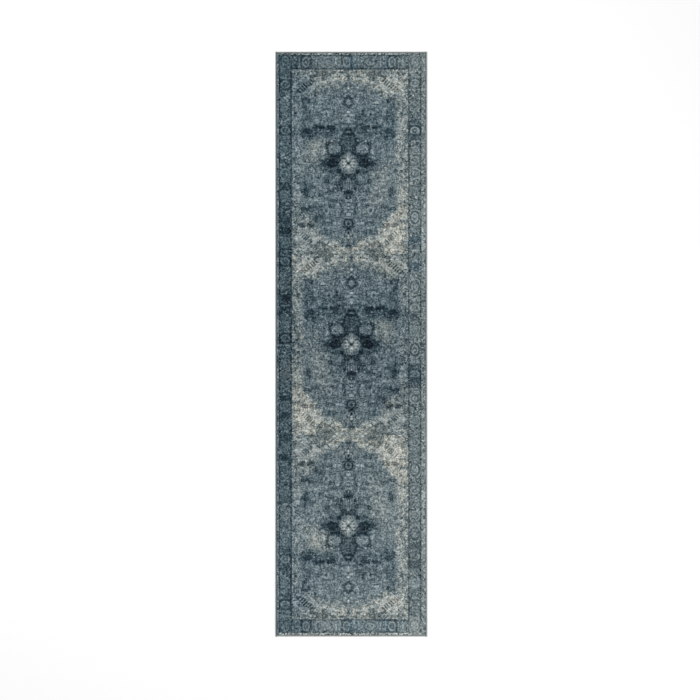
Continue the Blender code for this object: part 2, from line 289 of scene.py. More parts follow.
SPRIGS = marks(
    (B, 88, 187, 22, 12, -1.8), (B, 146, 188, 25, 11, -1.7), (D, 158, 178, 5, 4, 1.7),
    (D, 119, 200, 7, 12, 1.8, 25), (D, 100, 155, 10, 5, -1.7), (D, 84, 165, 16, 10, -1.0),
    (D, 171, 154, 7, 8, -1.9), (D, 181, 165, 8, 5, 1.7, 30), (D, 128, 152, 30, 4, -1.0),
    (D, 130, 166, 26, 3, 1.2), (D, 214, 152, 32, 30, -1.5), (D, 196, 132, 10, 11, -1.7),
    (D, 60, 217, 11, 7, 1.6), (D, 67, 232, 8, 4, -1.6), (D, 75, 262, 6, 16, -1.6), (D, 72, 276, 7, 7, -1.9),
    (D, 54, 256, 13, 13, -0.1), (D, 85, 236, 8, 7, 1.2), (R, 116, 257, 14, 16, 1.4, 0, 8),
    (D, 116, 256, 7, 8, -0.8), (D, 138, 256, 6, 7, -1.3), (D, 166, 222, 13, 12, 1.6),
    (D, 97, 205, 12, 4, 0.9, 30), (D, 50, 378, 8, 5, -1.1), (D, 88, 378, 25, 5, -1.6),
    (D, 74, 362, 14, 12, -0.3), (D, 62, 352, 9, 8, -1.4), (D, 102, 373, 5, 14, 1.3, 35),
    (D, 125, 370, 17, 12, -1.8), (D, 113, 390, 8, 6, -1.8), (D, 167, 370, 19, 6, -1.9),
    (D, 134, 400, 16, 3, -1.4, 25), (D, 151, 345, 8, 14, 1.6, -20), (D, 149, 320, 10, 9, 1.6),
    (D, 112, 344, 8, 8, 1.2), (D, 136, 310, 6, 5, -1.6), (D, 170, 309, 5, 5, -1.5),
    (D, 100, 300, 12, 8, 0.5), (R, 116, 300, 12, 12, 0.8, 0, 5), (D, 182, 335, 5, 12, -1.4),
    (D, 192, 323, 6, 5, 1.7), (D, 208, 322, 9, 10, -1.6), (D, 225, 335, 26, 9, -1.5),
    (D, 235, 316, 8, 16, -1.4), (D, 222, 318, 4, 6, 0.8), (D, 230, 298, 18, 6, -0.9),
    (D, 122, 449, 20, 8, -1.9, -10), (D, 175, 455, 18, 8, -1.9, -15), (D, 86, 432, 13, 10, 1.9),
    (D, 121, 422, 9, 9, 1.9), (D, 80, 415, 11, 5, 1.7, -15), (D, 96, 446, 14, 6, 1.7, 20),
    (D, 68, 450, 6, 5, -0.9), (D, 150, 436, 18, 6, 0.9, 10), (D, 130, 433, 8, 5, -1.4),
    (D, 60, 432, 14, 4, -0.8, 20), (D, 108, 404, 10, 7, 0.8), (D, 62, 404, 16, 5, 1.0, 30),
    (D, 52, 390, 10, 5, 1.2, -20), (D, 88, 398, 12, 5, -0.9, 20), (D, 220, 265, 18, 26, -1.1),
    (D, 232, 235, 8, 22, -1.2), (D, 208, 230, 12, 22, -0.6), (D, 210, 215, 9, 12, 0.6),
    (D, 195, 285, 10, 8, 1.1), (D, 187, 262, 8, 6, 1.1), (D, 146, -167, 9, 10, -1.6),
    (D, 118, -178, 14, 8, 0.5), (D, 60, -178, 18, 10, 1.0), (D, 45, -160, 8, 16, 0.9),
    (D, 105, -200, 18, 5, 1.2, 10), (D, 160, -105, 18, 22, 1.0), (D, 158, -100, 9, 10, 0.3),
    (D, 145, -130, 8, 8, 1.7), (D, 135, -98, 10, 10, 0.8), (D, 220, -145, 14, 28, -1.7),
    (D, 220, -150, 5, 13, 0.1), (D, 235, -108, 18, 14, -0.9, 30), (D, 185, -190, 22, 10, 1.2),
    (D, 215, -205, 14, 12, 0.6), (D, 225, -237, 24, 12, -1.6), (D, 185, -228, 34, 5, -1.3),
    (D, 150, -225, 16, 6, -1.0), (D, 132, -208, 9, 7, 1.1), (R, 116, -245, 14, 16, 1.6, 0, 9),
    (D, 116, -247, 7, 7, -0.8), (D, 138, -245, 6, 16, -1.3), (D, 170, -258, 20, 12, 0.6),
    (D, 165, -268, 12, 9, -0.8), (D, 136, -277, 13, 7, -1.7), (D, 114, -293, 13, 7, 1.9),
    (D, 92, -280, 8, 5, -0.8), (D, 82, -256, 10, 5, 0.9), (D, 90, -308, 10, 6, -1.0),
    (D, 132, -308, 8, 20, -1.0), (D, 106, -336, 6, 6, 1.9), (D, 108, -360, 28, 16, -1.3),
    (D, 105, -352, 5, 5, 0.6), (D, 80, -335, 12, 8, 0.3), (D, 62, -352, 7, 8, 0.9),
    (D, 35, -350, 10, 8, -0.4), (D, 48, -372, 12, 10, 0.0), (D, 150, -318, 10, 12, 0.7),
    (D, 184, -328, 7, 13, -1.7), (D, 208, -317, 9, 8, -1.7), (D, 244, -322, 22, 11, -1.9, 15),
    (D, 222, -296, 22, 13, 1.7, -35), (D, 205, -340, 10, 9, -0.8), (D, 166, -362, 12, 4, -1.7, 50),
    (D, 148, -361, 12, 4, -1.7, -50), (D, 158, -345, 10, 6, 1.4), (D, 130, -385, 14, 10, 0.8),
    (D, 119, -410, 12, 9, 2.0), (D, 92, -420, 12, 8, 1.9), (D, 73, -407, 9, 7, 1.8),
    (D, 95, -402, 18, 6, 0.8), (D, 120, -395, 8, 5, -1.2), (D, 165, -420, 34, 6, -1.6, -48),
    (D, 138, -412, 16, 6, -1.7, 45), (D, 110, -440, 24, 10, -0.7), (D, 180, -400, 12, 14, 1.2),
    (D, 150, -388, 8, 8, 1.4), (D, 62, -432, 12, 12, -0.6), (D, 250, -415, 18, 12, -1.0),
    (D, 200, -440, 14, 5, 1.2, 45), (D, 256, -290, 14, 22, 0.4), (D, 262, -240, 12, 24, 0.8),
    (D, 262, -170, 10, 28, 0.9), (D, 268, 160, 10, 22, 1.0), (D, 250, 130, 20, 7, 1.2, 40),
    (D, 262, 255, 8, 16, 0.7),
)
CORNER_DIAMONDS = marks(
    (G, 125, 484, 56, 56, -0.9), (G, 125, 484, 44, 44, -0.3), (D, 125, 470, 20, 14, -1.6),
    (G, 125, -454, 58, 56, -1.0), (G, 125, -454, 45, 43, -0.2), (D, 118, -462, 24, 18, -1.7),
    (D, 125, -428, 10, 8, -1.2), (G, 222, 405, 66, 60, 1.7), (G, 222, 405, 54, 48, 0.5),
    (H, 204, 418, 28, 15, -3.2, -45, 14), (H, 236, 392, 28, 15, -3.2, -45, 14),
    (B, 222, 405, 1.5, 34, 1.8, 45), (G, 222, -385, 66, 58, 1.6), (G, 222, -385, 54, 46, 0.7),
    (H, 208, -398, 27, 15, -2.4, 45, 14), (H, 236, -374, 27, 15, -2.4, 45, 14),
    (B, 170, 430, 2, 26, 1.5, -45), (B, 262, 350, 2, 26, 1.5, 45), (B, 262, -335, 2, 26, 1.4, -45),
    (D, 60, 440, 30, 4, 1.6, -14), (D, 62, 428, 24, 3, -1.0, -14), (D, 70, 456, 24, 3, 1.3, -10),
    (H, 262, -130, 14, 40, 0.9, 45, 11), (H, 262, 200, 14, 40, 0.9, -45, 11),
)


# ---------------------------------------------------------------------------------------------------------
# Grounds, shade and wear. A wash that is ANYWHERE wide reaches right across what it is laid on.
# ---------------------------------------------------------------------------------------------------------


ANYWHERE = 1.0e4
LOBE_OUTLINE = (
    (0, 424), (55, 414), (120, 398), (175, 372), (212, 345), (250, 328), (250, -246), (232, -252),
    (205, -288), (182, -302), (160, -352), (132, -378), (96, -392), (66, -402), (36, -428), (0, -440),
)
PANEL_SHADE = washes(
    (84, 4, 44, 38, -36), (50, 30, 30, 22, -16), (108, 4, 56, 30, -14), (34, 62, 22, 20, -12),
    (46, -44, 30, 18, -10), (0, -62, 62, 26, -20), (36, 140, 62, 44, -22), (170, 172, 80, 22, -16),
    (64, -90, 60, 46, -14), (0, -150, 30, 40, -14), (0, -290, 45, 90, -8), (222, -140, 20, 32, -14),
    (222, 225, 22, 60, -6), (150, -285, 36, 26, -8), (0, 18, 16, 12, -14), (60, 22, 34, 14, -16),
    (0, 68, 34, 26, -10), (170, 474, 80, 14, -8), (0, -452, 60, 16, 6),
)
PANEL_WEAR = washes(
    (-60, 30, 60, 60, -4), (210, -345, 36, 30, 14), (210, 415, 44, 30, 12), (205, 280, 30, 60, 8),
    (-280, 260, 24, 90, -8), (-85, -200, 26, 60, -8), (-235, 400, 40, 60, -14), (-245, 340, 36, 24, -14),
    (-230, 170, 60, 34, -20), (-120, 184, 60, 24, -22), (-70, 60, 40, 50, -6), (-75, 215, 45, 40, -6),
    (160, 235, 75, 40, -10), (60, 200, 22, 50, -10), (225, -60, 45, 55, 8), (-185, -240, 75, 22, -16),
    (-150, -290, 30, 26, -10), (-225, -125, 25, 32, -18), (-255, -245, 30, 28, -8), (-75, -70, 45, 36, -6),
    (-172, 300, 8, 140, -10), (208, 300, 8, 130, -8), (-40, 400, 8, 60, -8), (-215, 0, 10, 150, -7),
    (-40, 150, 26, 50, 14), (90, 235, 50, 40, -13), (-205, -300, 60, 26, -18), (0, -330, 40, 36, -17),
    (262, -395, 34, 34, 21), (-255, -385, 34, 26, 17), (280, 140, 22, 40, 14),
)
CREAM_OUTSIDE = washes(
    (235, -370, 80, 95, 0.6), (278, -215, 28, 80, 0.42), (215, 405, 85, 40, 0.34), (290, 70, 30, 150, 0.12),
    (-245, 400, 50, 70, -0.42), (-285, 60, 40, 330, -0.42), (0, -440, 180, 34, 0.3),
    (20, 445, 130, 30, 0.26),
)
CREAM_INSIDE = washes(
    (-158, 86, 46, 42, 0.5), (-190, 20, 50, 50, 0.26), (185, -60, 60, 75, 0.26), (150, -190, 60, 80, 0.22),
    (15, 400, 90, 24, 0.2), (30, -400, 100, 30, 0.26), (165, 380, 60, 26, 0.3), (-165, 380, 45, 26, 0.22),
    (-200, -330, 40, 40, 0.24), (0, 0, 32, 36, 0.6),
)
FIELD_AGE = washes(
    (0, 20, ANYWHERE, 420, -8), (-290, 40, 60, 420, -8), (-285, 30, 30, 150, -12), (245, 385, 40, 50, 14),
    (282, 260, 24, 60, 18), (238, 415, 70, 44, 30), (-262, 1318, 50, 60, -8), (0, -990, ANYWHERE, 400, 10),
    (30, -1350, 280, 80, 12), (-160, -970, 60, 90, 10),
)
FIELD_TINTS = washes(
    (-285, 20, 30, 160, -0.2), (238, 400, 80, 60, 0.7), (282, 260, 24, 60, 0.3),
    (0, -800, ANYWHERE, 900, 0.06), (-125, -1030, 60, 60, 0.15),
)
PANEL_TINTS = washes(
    (-230, 330, 60, 90, -0.12), (-150, 170, 120, 34, -0.2), (190, 180, 60, 50, -0.16),
    (90, 5, 50, 50, -0.15), (-90, 5, 50, 50, -0.15), (-225, -130, 30, 40, -0.2),
)


def inside(outline: Sequence[tuple[float, float]], x: Grid, y: Grid) -> Grid:
    """Tells which knots stand inside an outline that is closed along the long axis.

    Args:
        outline: its corners on one side of the axis.
        x: distance from the axis.
        y: places along it.

    Returns:
        True for each knot inside.
    """
    found = np.zeros(np.broadcast(x, y).shape, bool)
    for (ax, ay), (bx, by) in zip(outline, [*outline[1:], outline[0]]):
        if ay != by:
            found ^= ((ay > y) != (by > y)) & (x < ax + (y - ay) * (bx - ax) / (by - ay))
    return found


def soften(layer: Grid, knots: int) -> Grid:
    """Spreads a layer evenly over its neighbours, twice, so that its edges run out smoothly.

    Args:
        layer: one value for each knot.
        knots: how many knots wide one spread is.

    Returns:
        The softened layer.
    """
    window = np.ones(knots) / knots

    def spread(line: Grid) -> Grid:
        """Spreads one row or column."""
        return np.convolve(np.pad(line, knots // 2, "edge"), window, "valid")[: len(line)]

    for _ in range(2):
        for axis in (0, 1):
            layer = np.apply_along_axis(spread, axis, layer)
    return layer


@dataclass
class Filler:
    """Small leaves, buds and rings that crowd the ground between the larger figures."""

    seed: int
    half_width: float
    low: float
    high: float
    turns: tuple[int, ...] = (-60, -45, -30, 0, 30, 45, 60, 90)
    line: float = 2.6

    def count(self, spacing: float) -> int:
        """How many figures fill the area at that spacing."""
        return int(2 * self.half_width * (self.high - self.low) / spacing**2)

    def figures(self, spacing: float, tone: float, size: float = 3.4) -> list[Mark]:
        """Scatters small figures over the area, dark and light in turn.

        Args:
            spacing: about how far one figure stands from the next.
            tone: how strong the darkest and lightest are.
            size: half the usual length of a figure.

        Returns:
            The figures, in the order they are laid.
        """
        rng = np.random.default_rng(self.seed)
        count = self.count(spacing)
        x = rng.uniform(-self.half_width, self.half_width, count)
        y = rng.uniform(self.low, self.high, count)
        long = size * rng.gamma(9.0, 1 / 9.0, count)
        slim = rng.uniform(0.4, 0.9, count)
        turn = rng.choice(self.turns, count) + rng.normal(0, 8, count)
        kind = rng.choice([D, D, D, D, R, B], count)
        sign = np.where(rng.random(count) < 0.5, -1, 1)
        power = tone * rng.uniform(0.5, 1.0, count)
        return [
            Mark(kind[i], x[i], y[i], long[i], long[i] * slim[i], sign[i] * power[i], turn[i], self.line)
            for i in range(count)
        ]

    def hatches(self, spacing: float, tone: float) -> list[Mark]:
        """Scatters patches of slanting lines.

        Args:
            spacing: about how far one patch stands from the next.
            tone: how strong the lines are.

        Returns:
            The patches.
        """
        rng = np.random.default_rng(self.seed + 1)
        made = []
        for _ in range(self.count(spacing)):
            x, y = rng.uniform(-self.half_width, self.half_width), rng.uniform(self.low, self.high)
            size = rng.uniform(9, 17)
            turn = float(rng.choice([-45, 45])) + rng.normal(0, 6)
            shade = tone * rng.choice([-1, 1])
            made.append(Mark(H, x, y, size, size, shade, turn, rng.uniform(7.5, 9.5)))
        return made


@dataclass
class FieldPanel:
    """The drawing of one panel of the field. It serves all three, turned over from one to the next."""

    half_width: float = 314.0
    low: float = -474.0
    high: float = 492.0
    base: float = 106.0
    cream_lift: float = 42.0
    cream_start: float = 0.42
    lobe_crispness: float = 1.9
    lobe_stray: float = 3.0
    wear_stray: float = 2.6
    crowd_depth: tuple[float, float, float] = (0.5, 0.36, 0.14)
    weft_streak: float = 9.0
    warp_streak: float = 8.0
    streak_knots: int = 11
    tone: Grid = field(init=False)
    warmth: Grid = field(init=False)

    def __post_init__(self) -> None:
        """Draws the panel once, on knots of its own."""
        step = KNOT / MM
        drawing = Drawing(
            np.arange(-self.half_width, self.half_width, step), np.arange(self.low, self.high, step)
        )
        lobe, fade = self.grounds(drawing)
        self.draw_figures(drawing, lobe, fade)
        drawing.tone *= CONTRAST
        drawing.tone += self.streaks(drawing.tone.shape)
        drawing.wash(PANEL_SHADE, twofold=True)
        drawing.wash(PANEL_WEAR)
        warmth = Drawing(drawing.xs, drawing.ys)
        warmth.wash(PANEL_TINTS)
        self.tone = self.base + drawing.tone + self.cream_lift * fade
        self.warmth = fade + warmth.tone

    def grounds(self, drawing: Drawing) -> tuple[Grid, Grid]:
        """Parts the blue ground from the cream one round it, with an uneven edge.

        Args:
            drawing: the panel's drawing, whose knots it takes.

        Returns:
            How far each knot belongs to the blue ground, and how far it has faded to cream.
        """
        x, y = np.abs(drawing.xs)[None, :], drawing.ys[:, None]
        rng = np.random.default_rng(15)
        shape = np.broadcast(x, y).shape
        lobe = soften(inside(LOBE_OUTLINE, x, y).astype(float), 9)
        stray = self.lobe_stray * soften(rng.normal(0, 1, shape), 5)
        lobe = np.clip(0.5 + self.lobe_crispness * (lobe - 0.5) + stray, 0, 1)
        worn = 1 + self.wear_stray * soften(rng.normal(0, 1, shape), 7)
        outer, inner = Drawing(drawing.xs, drawing.ys), Drawing(drawing.xs, drawing.ys)
        outer.wash(CREAM_OUTSIDE)
        inner.wash(CREAM_INSIDE)
        fade = ((1 - lobe) * (self.cream_start + outer.tone) + lobe * inner.tone) * worn
        return lobe, np.clip(fade, 0, 1)

    def draw_figures(self, drawing: Drawing, lobe: Grid, fade: Grid) -> None:
        """Lays the figures: what crowds the ground, then the main ones, and fine stray knots over them.

        Args:
            drawing: the panel's drawing.
            lobe: how far each knot belongs to the blue ground.
            fade: how far it has faded to cream.
        """
        area = self.half_width, self.low, self.high
        mirrored = Filler(11, *area)
        drawing.paint(mirrored.figures(spacing=9.0, tone=2.5), weight=0.95, twofold=True)
        drawing.paint(mirrored.hatches(spacing=64.0, tone=1.9), weight=0.8, twofold=True)
        drawing.paint(Filler(12, *area).figures(spacing=9.0, tone=2.5), weight=0.75)
        drawing.paint(Filler(16, *area).figures(spacing=6.0, tone=2.3, size=2.3), weight=0.45)
        everywhere, in_cream, in_fade = self.crowd_depth
        drawing.tone *= everywhere + in_cream * (1 - lobe) + in_fade * fade
        drawing.paint(CORNER_DIAMONDS, weight=0.75, twofold=True)
        main_figures = ARMS + BLOSSOMS + STEM_HEAD + STEM_FOOT + AXIS + SPRIGS
        drawing.paint(main_figures, weight=0.7, twofold=True)
        stray_knots = Filler(13, *area).figures(spacing=6.0, tone=2.1, size=2.4)
        drawing.paint(stray_knots, weight=0.38, twofold=True)
        drawing.paint(ROSETTE, weight=0.85, twofold=True)

    def streaks(self, shape: tuple[int, int]) -> Grid:
        """The fine lines that uneven dye leaves along the weft, and fainter ones along the warp.

        Args:
            shape: how many knots along and across.

        Returns:
            What they add to the tone of each knot.
        """
        rng = np.random.default_rng(14)
        window = np.ones(self.streak_knots) / math.sqrt(self.streak_knots)
        weft = np.apply_along_axis(np.convolve, 1, rng.normal(0, 1, shape), window, "same")
        warp = np.apply_along_axis(np.convolve, 0, rng.normal(0, 1, shape), window, "same")
        return self.weft_streak * weft + self.warp_streak * warp

    def weave(self, across: Grid, along: Grid) -> tuple[Grid, Grid]:
        """Copies the drawing onto the rug's knots.

        Args:
            across: places across the panel, in millimetres from its medallion.
            along: places along it.

        Returns:
            The tone and the warmth of each knot.
        """
        step = KNOT / MM
        columns = np.clip(np.rint((across + self.half_width) / step), 0, self.tone.shape[1] - 1).astype(int)
        rows = np.clip(np.rint((along - self.low) / step), 0, self.tone.shape[0] - 1).astype(int)
        return self.tone[np.ix_(rows, columns)], self.warmth[np.ix_(rows, columns)]


class Unit(Enum):
    """What follows one after another along the main border."""

    OVAL = "oval"
    CARTOUCHE = "cartouche"
    POST = "post"
    ROSETTE = "rosette"
    PLAIN = "plain"


@dataclass(frozen=True)
class Stop:
    """One unit of the main border, at its place along the side."""

    unit: Unit
    along: float
    ground: float
    strength: float = 1.0

    def figures(self, half: float) -> list[Mark]:
        """The unit's figures.

        Args:
            half: half the border's width, in millimetres.

        Returns:
            The figures, in the order they are laid.
        """
        y, s, inside = self.along, self.strength, half - 8
        if self.unit is Unit.OVAL:
            return [
                Mark(D, 0, y, half + 8, 34, 1.3 * self.ground),
                Mark(D, 0, y, 0.82 * inside, 17, 0.35 * s),
                Mark(R, 0, y, 0.82 * inside, 17, 1.3 * s, 0, 5.5),
                Mark(R, 0, y, 0.42 * inside, 8, -0.8 * s, 0, 3.5),
                Mark(D, 0, y, 4, 3, 1.3 * s),
                Mark(B, 0, y - 33, inside, 2.5, 1.0 * s),
                Mark(B, 0, y + 33, inside, 2.5, 1.0 * s),
            ]
        if self.unit is Unit.CARTOUCHE:
            return [
                Mark(D, 0, y, inside + 2, 29, self.ground + 0.2),
                Mark(R, 0, y, inside, 26, 1.1 * s, 0, 4.0),
                Mark(R, 0, y, inside - 8, 18, -0.8 * s, 0, 4.0),
                Mark(R, 0, y, 9, 9, 1.1 * s, 0, 3.5),
                Mark(D, 0, y, 3, 3, -0.8 * s),
            ]
        if self.unit is Unit.POST:
            return [
                Mark(B, 0, y, inside, 13, self.ground),
                Mark(D, 0, y, inside - 4, 4.5, 1.7 * s),
            ]
        if self.unit is Unit.ROSETTE:
            return [
                Mark(D, 0, y, 33, 44, self.ground),
                Mark(R, 0, y, 31, 42, 1.0 * s, 0, 4.5),
                Mark(R, 0, y, 23, 32, -0.9 * s, 0, 4.5),
                Mark(R, 0, y, 15, 20, 1.1 * s, 0, 4.5),
                Mark(D, 0, y, 7, 6, 1.1 * s),
            ]
        return [Mark(B, 0, y, inside, 18, 1.2 * self.ground)]


def stops(*rows: Sequence) -> tuple[Stop, ...]:
    """The units of a table, one to a row."""
    return tuple(Stop(*row) for row in rows)


@dataclass
class Border:
    """The drawing of the main border along one side."""

    seed: int
    stops: Sequence[Stop]
    base: float
    washes: Sequence[Wash]
    warmth: float
    tints: Sequence[Wash] = ()
    contrast: float = 42.0
    rim_width: float = 11.0
    rim_slope: float = 9.0
    rim_dark: float = 0.8

    def weave(self, across: Grid, along: Grid) -> tuple[Grid, Grid]:
        """Draws the side.

        Args:
            across: places across the border, in millimetres from its middle, and toward the field above 0.
            along: places along it, in millimetres from the rug's centre line.

        Returns:
            The tone and the warmth of each knot, one row for each place along.
        """
        half = float(np.abs(across).max()) + KNOT / MM / 2
        drawing = Drawing(across, along)
        filler = Filler(self.seed, half, float(along.min()), float(along.max()))
        drawing.paint(filler.figures(spacing=8.0, tone=2.2, size=3.0), weight=0.9)
        for stop in self.stops:
            drawing.paint(stop.figures(half), weight=0.66)
        over = Filler(self.seed + 1, half, filler.low, filler.high)
        drawing.paint(over.figures(spacing=6.5, tone=2.0, size=2.6), weight=0.5)
        edge = np.abs(across)[None, :]
        drawing.tone -= self.rim_dark * np.clip((edge - half + self.rim_width) / self.rim_slope, 0, 1)
        drawing.tone *= self.contrast
        drawing.wash(self.washes)
        warmth = Drawing(across, along)
        warmth.wash(self.tints)
        return self.base + drawing.tone, self.warmth + warmth.tone


@dataclass
class Guard:
    """The drawing of the narrow outer stripe along one side."""

    seed: int
    base: float
    washes: Sequence[Wash]
    warmth: float
    contrast: float = 38.0

    def weave(self, across: Grid, along: Grid) -> tuple[Grid, Grid]:
        """Draws the stripe.

        Args:
            across: places across the stripe, in millimetres from its middle.
            along: places along it, in millimetres from the rug's centre line.

        Returns:
            The tone and the warmth of each knot, one row for each place along.
        """
        half = float(np.abs(across).max()) + KNOT / MM
        drawing = Drawing(across, along)
        filler = Filler(self.seed, half, float(along.min()), float(along.max()))
        drawing.paint(filler.figures(spacing=6.0, tone=2.0, size=3.0), weight=0.8)
        drawing.tone *= self.contrast
        drawing.wash(self.washes)
        return self.base + drawing.tone, np.full(drawing.tone.shape, self.warmth)


# ---------------------------------------------------------------------------------------------------------
# The borders and guards, side by side. Places run along the rug, or across it at its ends.
# ---------------------------------------------------------------------------------------------------------


O, C, P, Q, N = Unit.OVAL, Unit.CARTOUCHE, Unit.POST, Unit.ROSETTE, Unit.PLAIN
LEFT_BORDER = Border(
    21,
    stops(
        (Q, 1475, -0.2), (N, 1412, -0.2), (O, 1350, -0.9, 1.1), (C, 1225, 0.3, 0.6), (O, 1112, -0.8, 1.3),
        (C, 1015, 0.1, 0.7), (C, 884, 0.2, 1.0), (N, 818, -0.9), (C, 770, 0.2, 0.6), (P, 712, -0.7, 0.7),
        (N, 640, -0.5), (N, 590, -1.1), (C, 530, 0.3, 0.6), (O, 430, -1.0, 1.1), (C, 318, 0.2, 0.7),
        (N, 240, -1.1), (P, 201, -0.9, 0.9), (N, 175, -0.8), (C, 122, 0.1, 0.5), (O, 30, -1.0, 1.0),
        (C, -105, 0.3, 0.6), (C, -170, 0.2, 0.6), (P, -262, -1.2, 1.0), (N, -290, -1.0),
        (C, -322, 0.2, 0.8), (N, -372, -0.9), (C, -425, 0.1, 0.7), (N, -490, -0.8), (C, -548, 0.5, 0.8),
        (N, -590, -1.1), (C, -655, 0.0, 0.5), (P, -712, -0.4, 1.1), (C, -775, -0.1, 0.5), (N, -808, -0.4),
        (C, -880, 0.5, 0.8), (N, -935, 0.0), (C, -1020, 0.3, 0.7), (N, -1082, -0.9), (O, -1120, -0.7, 1.2),
        (N, -1160, -0.9), (C, -1240, 0.1, 0.6), (O, -1355, -0.8, 1.0), (P, -1415, 0.1, 0.7),
        (Q, -1474, 0.0, 0.9),
    ),
    81.0,
    washes(
        (0, 1100, ANYWHERE, 500, 4), (0, 250, ANYWHERE, 700, -9), (0, -950, ANYWHERE, 260, 14),
        (0, -1350, ANYWHERE, 160, 12), (0, 606, ANYWHERE, 40, -10), (0, 230, ANYWHERE, 30, -8),
    ),
    -0.08,
    washes((0, 300, ANYWHERE, 40, 0.25), (0, -140, ANYWHERE, 50, 0.3), (0, -880, ANYWHERE, 80, 0.2)),
)
RIGHT_BORDER = Border(
    31,
    stops(
        (Q, 1465, 0.3, 1.0), (O, 1358, -0.4, 1.1), (C, 1236, 0.4, 0.8), (N, 1150, -0.9),
        (O, 1111, -0.9, 1.5), (N, 1078, -1.0), (C, 1000, 0.2, 0.9), (O, 958, -0.1, 1.0), (C, 888, 0.1, 1.2),
        (N, 800, 0.1), (Q, 660, 0.1, 1.7), (N, 600, 0.3), (N, 545, -0.6), (P, 487, 0.3, 1.2),
        (N, 405, -0.8), (Q, 297, 0.1, 1.4), (O, 190, -0.3, 1.1), (N, 140, -0.8), (C, 70, 0.2, 0.6),
        (Q, -30, -0.5, 1.5), (N, -118, -0.8), (O, -155, -0.7, 0.6), (N, -190, -1.2), (P, -232, -0.4, 0.9),
        (C, -283, -0.1, 1.2), (C, -403, 0.2, 0.8), (O, -512, -0.3, 0.9), (C, -575, 0.0, 0.7),
        (Q, -655, 0.2, 1.4), (O, -762, -0.1, 0.9), (N, -835, 0.0), (C, -895, 0.2, 1.1), (Q, -985, 0.0, 1.2),
        (N, -1048, -0.5), (O, -1108, -0.4, 0.9), (N, -1150, -0.4), (C, -1235, 0.4, 0.8),
        (O, -1355, -0.2, 1.0), (Q, -1465, 0.5, 1.0),
    ),
    108.0,
    washes(
        (0, 1440, ANYWHERE, 80, 8), (0, 1150, ANYWHERE, 50, -8), (0, 800, ANYWHERE, 200, 3),
        (0, -160, ANYWHERE, 60, -14), (0, -520, ANYWHERE, 200, 5), (0, -860, ANYWHERE, 70, 12),
        (0, -1150, ANYWHERE, 40, -8), (0, -1260, ANYWHERE, 50, 16), (0, -1470, ANYWHERE, 60, 26),
    ),
    0.28,
    washes(
        (0, 540, ANYWHERE, 22, -0.45), (0, 405, ANYWHERE, 22, -0.5), (0, -160, ANYWHERE, 40, -0.4),
        (0, 1120, ANYWHERE, 60, -0.25), (0, -1250, ANYWHERE, 60, -0.1), (0, -1470, ANYWHERE, 60, 0.15),
    ),
)
END_STOPS = stops(
    (O, -236, -1.0, 1.1), (P, -182, 0.2, 0.7), (C, -158, 0.2, 0.8), (C, -118, 0.2, 0.8), (P, -80, 0.3, 1.2),
    (O, -24, -0.8, 1.1), (P, 38, 0.2, 1.0), (Q, 98, 0.2, 1.1), (P, 152, -0.1, 0.9), (O, 212, -0.8, 1.3),
    (P, 268, 0.2, 1.0),
)
HEAD_BORDER = Border(
    41,
    END_STOPS,
    97.0,
    washes((0, -330, ANYWHERE, 110, -18), (0, -135, ANYWHERE, 50, 4), (0, 300, ANYWHERE, 60, 10)),
    0.2,
    washes((0, 10, ANYWHERE, 18, -0.8), (0, 180, ANYWHERE, 14, -0.7), (0, -300, ANYWHERE, 70, -0.2)),
)
FOOT_BORDER = Border(
    51,
    END_STOPS,
    113.0,
    washes((0, -300, ANYWHERE, 110, -14), (0, -130, ANYWHERE, 50, 8), (0, 320, ANYWHERE, 60, 12)),
    0.16,
    washes((0, 12, ANYWHERE, 18, -1.1), (0, 180, ANYWHERE, 14, -0.6), (0, -300, ANYWHERE, 70, -0.25)),
)
LEFT_GUARD = Guard(
    61,
    100.0,
    washes((0, 1200, ANYWHERE, 300, 4), (0, 100, ANYWHERE, 200, -6), (0, -1100, ANYWHERE, 350, 14)),
    0.0,
)
RIGHT_GUARD = Guard(
    62,
    126.0,
    washes((0, 640, ANYWHERE, 160, 16), (0, 60, ANYWHERE, 200, -10), (0, -1000, ANYWHERE, 500, 13)),
    0.34,
)
HEAD_GUARD = Guard(
    63,
    116.0,
    washes((0, -330, ANYWHERE, 120, -16), (0, 250, ANYWHERE, 150, 14)),
    0.42,
    56.0,
)
FOOT_GUARD = Guard(
    64,
    141.0,
    washes((0, -330, ANYWHERE, 120, -20), (0, 250, ANYWHERE, 140, 28)),
    0.5,
    60.0,
)


# ---------------------------------------------------------------------------------------------------------
# The knots.
# ---------------------------------------------------------------------------------------------------------


class Area(Enum):
    """The areas of pile, by the names of their CAD nodes."""

    GUARD_LEFT = "guard_pile_left"
    GUARD_RIGHT = "guard_pile_right"
    GUARD_HEAD = "guard_pile_head"
    GUARD_FOOT = "guard_pile_foot"
    BORDER_LEFT = "border_pile_left"
    BORDER_RIGHT = "border_pile_right"
    BORDER_HEAD = "border_pile_head"
    BORDER_FOOT = "border_pile_foot"
    FIELD_HEAD = "field_pile_head"
    FIELD_CENTRE = "field_pile_centre"
    FIELD_FOOT = "field_pile_foot"
    MEDALLION_HEAD = "medallion_pile_head"
    MEDALLION_CENTRE = "medallion_pile_centre"
    MEDALLION_FOOT = "medallion_pile_foot"
    ROSETTE_HEAD = "rosette_pile_head"
    ROSETTE_CENTRE = "rosette_pile_centre"
    ROSETTE_FOOT = "rosette_pile_foot"


AREAS = tuple(Area)
FIELDS = (Area.FIELD_HEAD, Area.FIELD_CENTRE, Area.FIELD_FOOT)
MEDALLIONS = (Area.MEDALLION_HEAD, Area.MEDALLION_CENTRE, Area.MEDALLION_FOOT)
ROSETTES = (Area.ROSETTE_HEAD, Area.ROSETTE_CENTRE, Area.ROSETTE_FOOT)
PANEL_FLIPS = ((1, 1), (-1, 1), (1, -1))


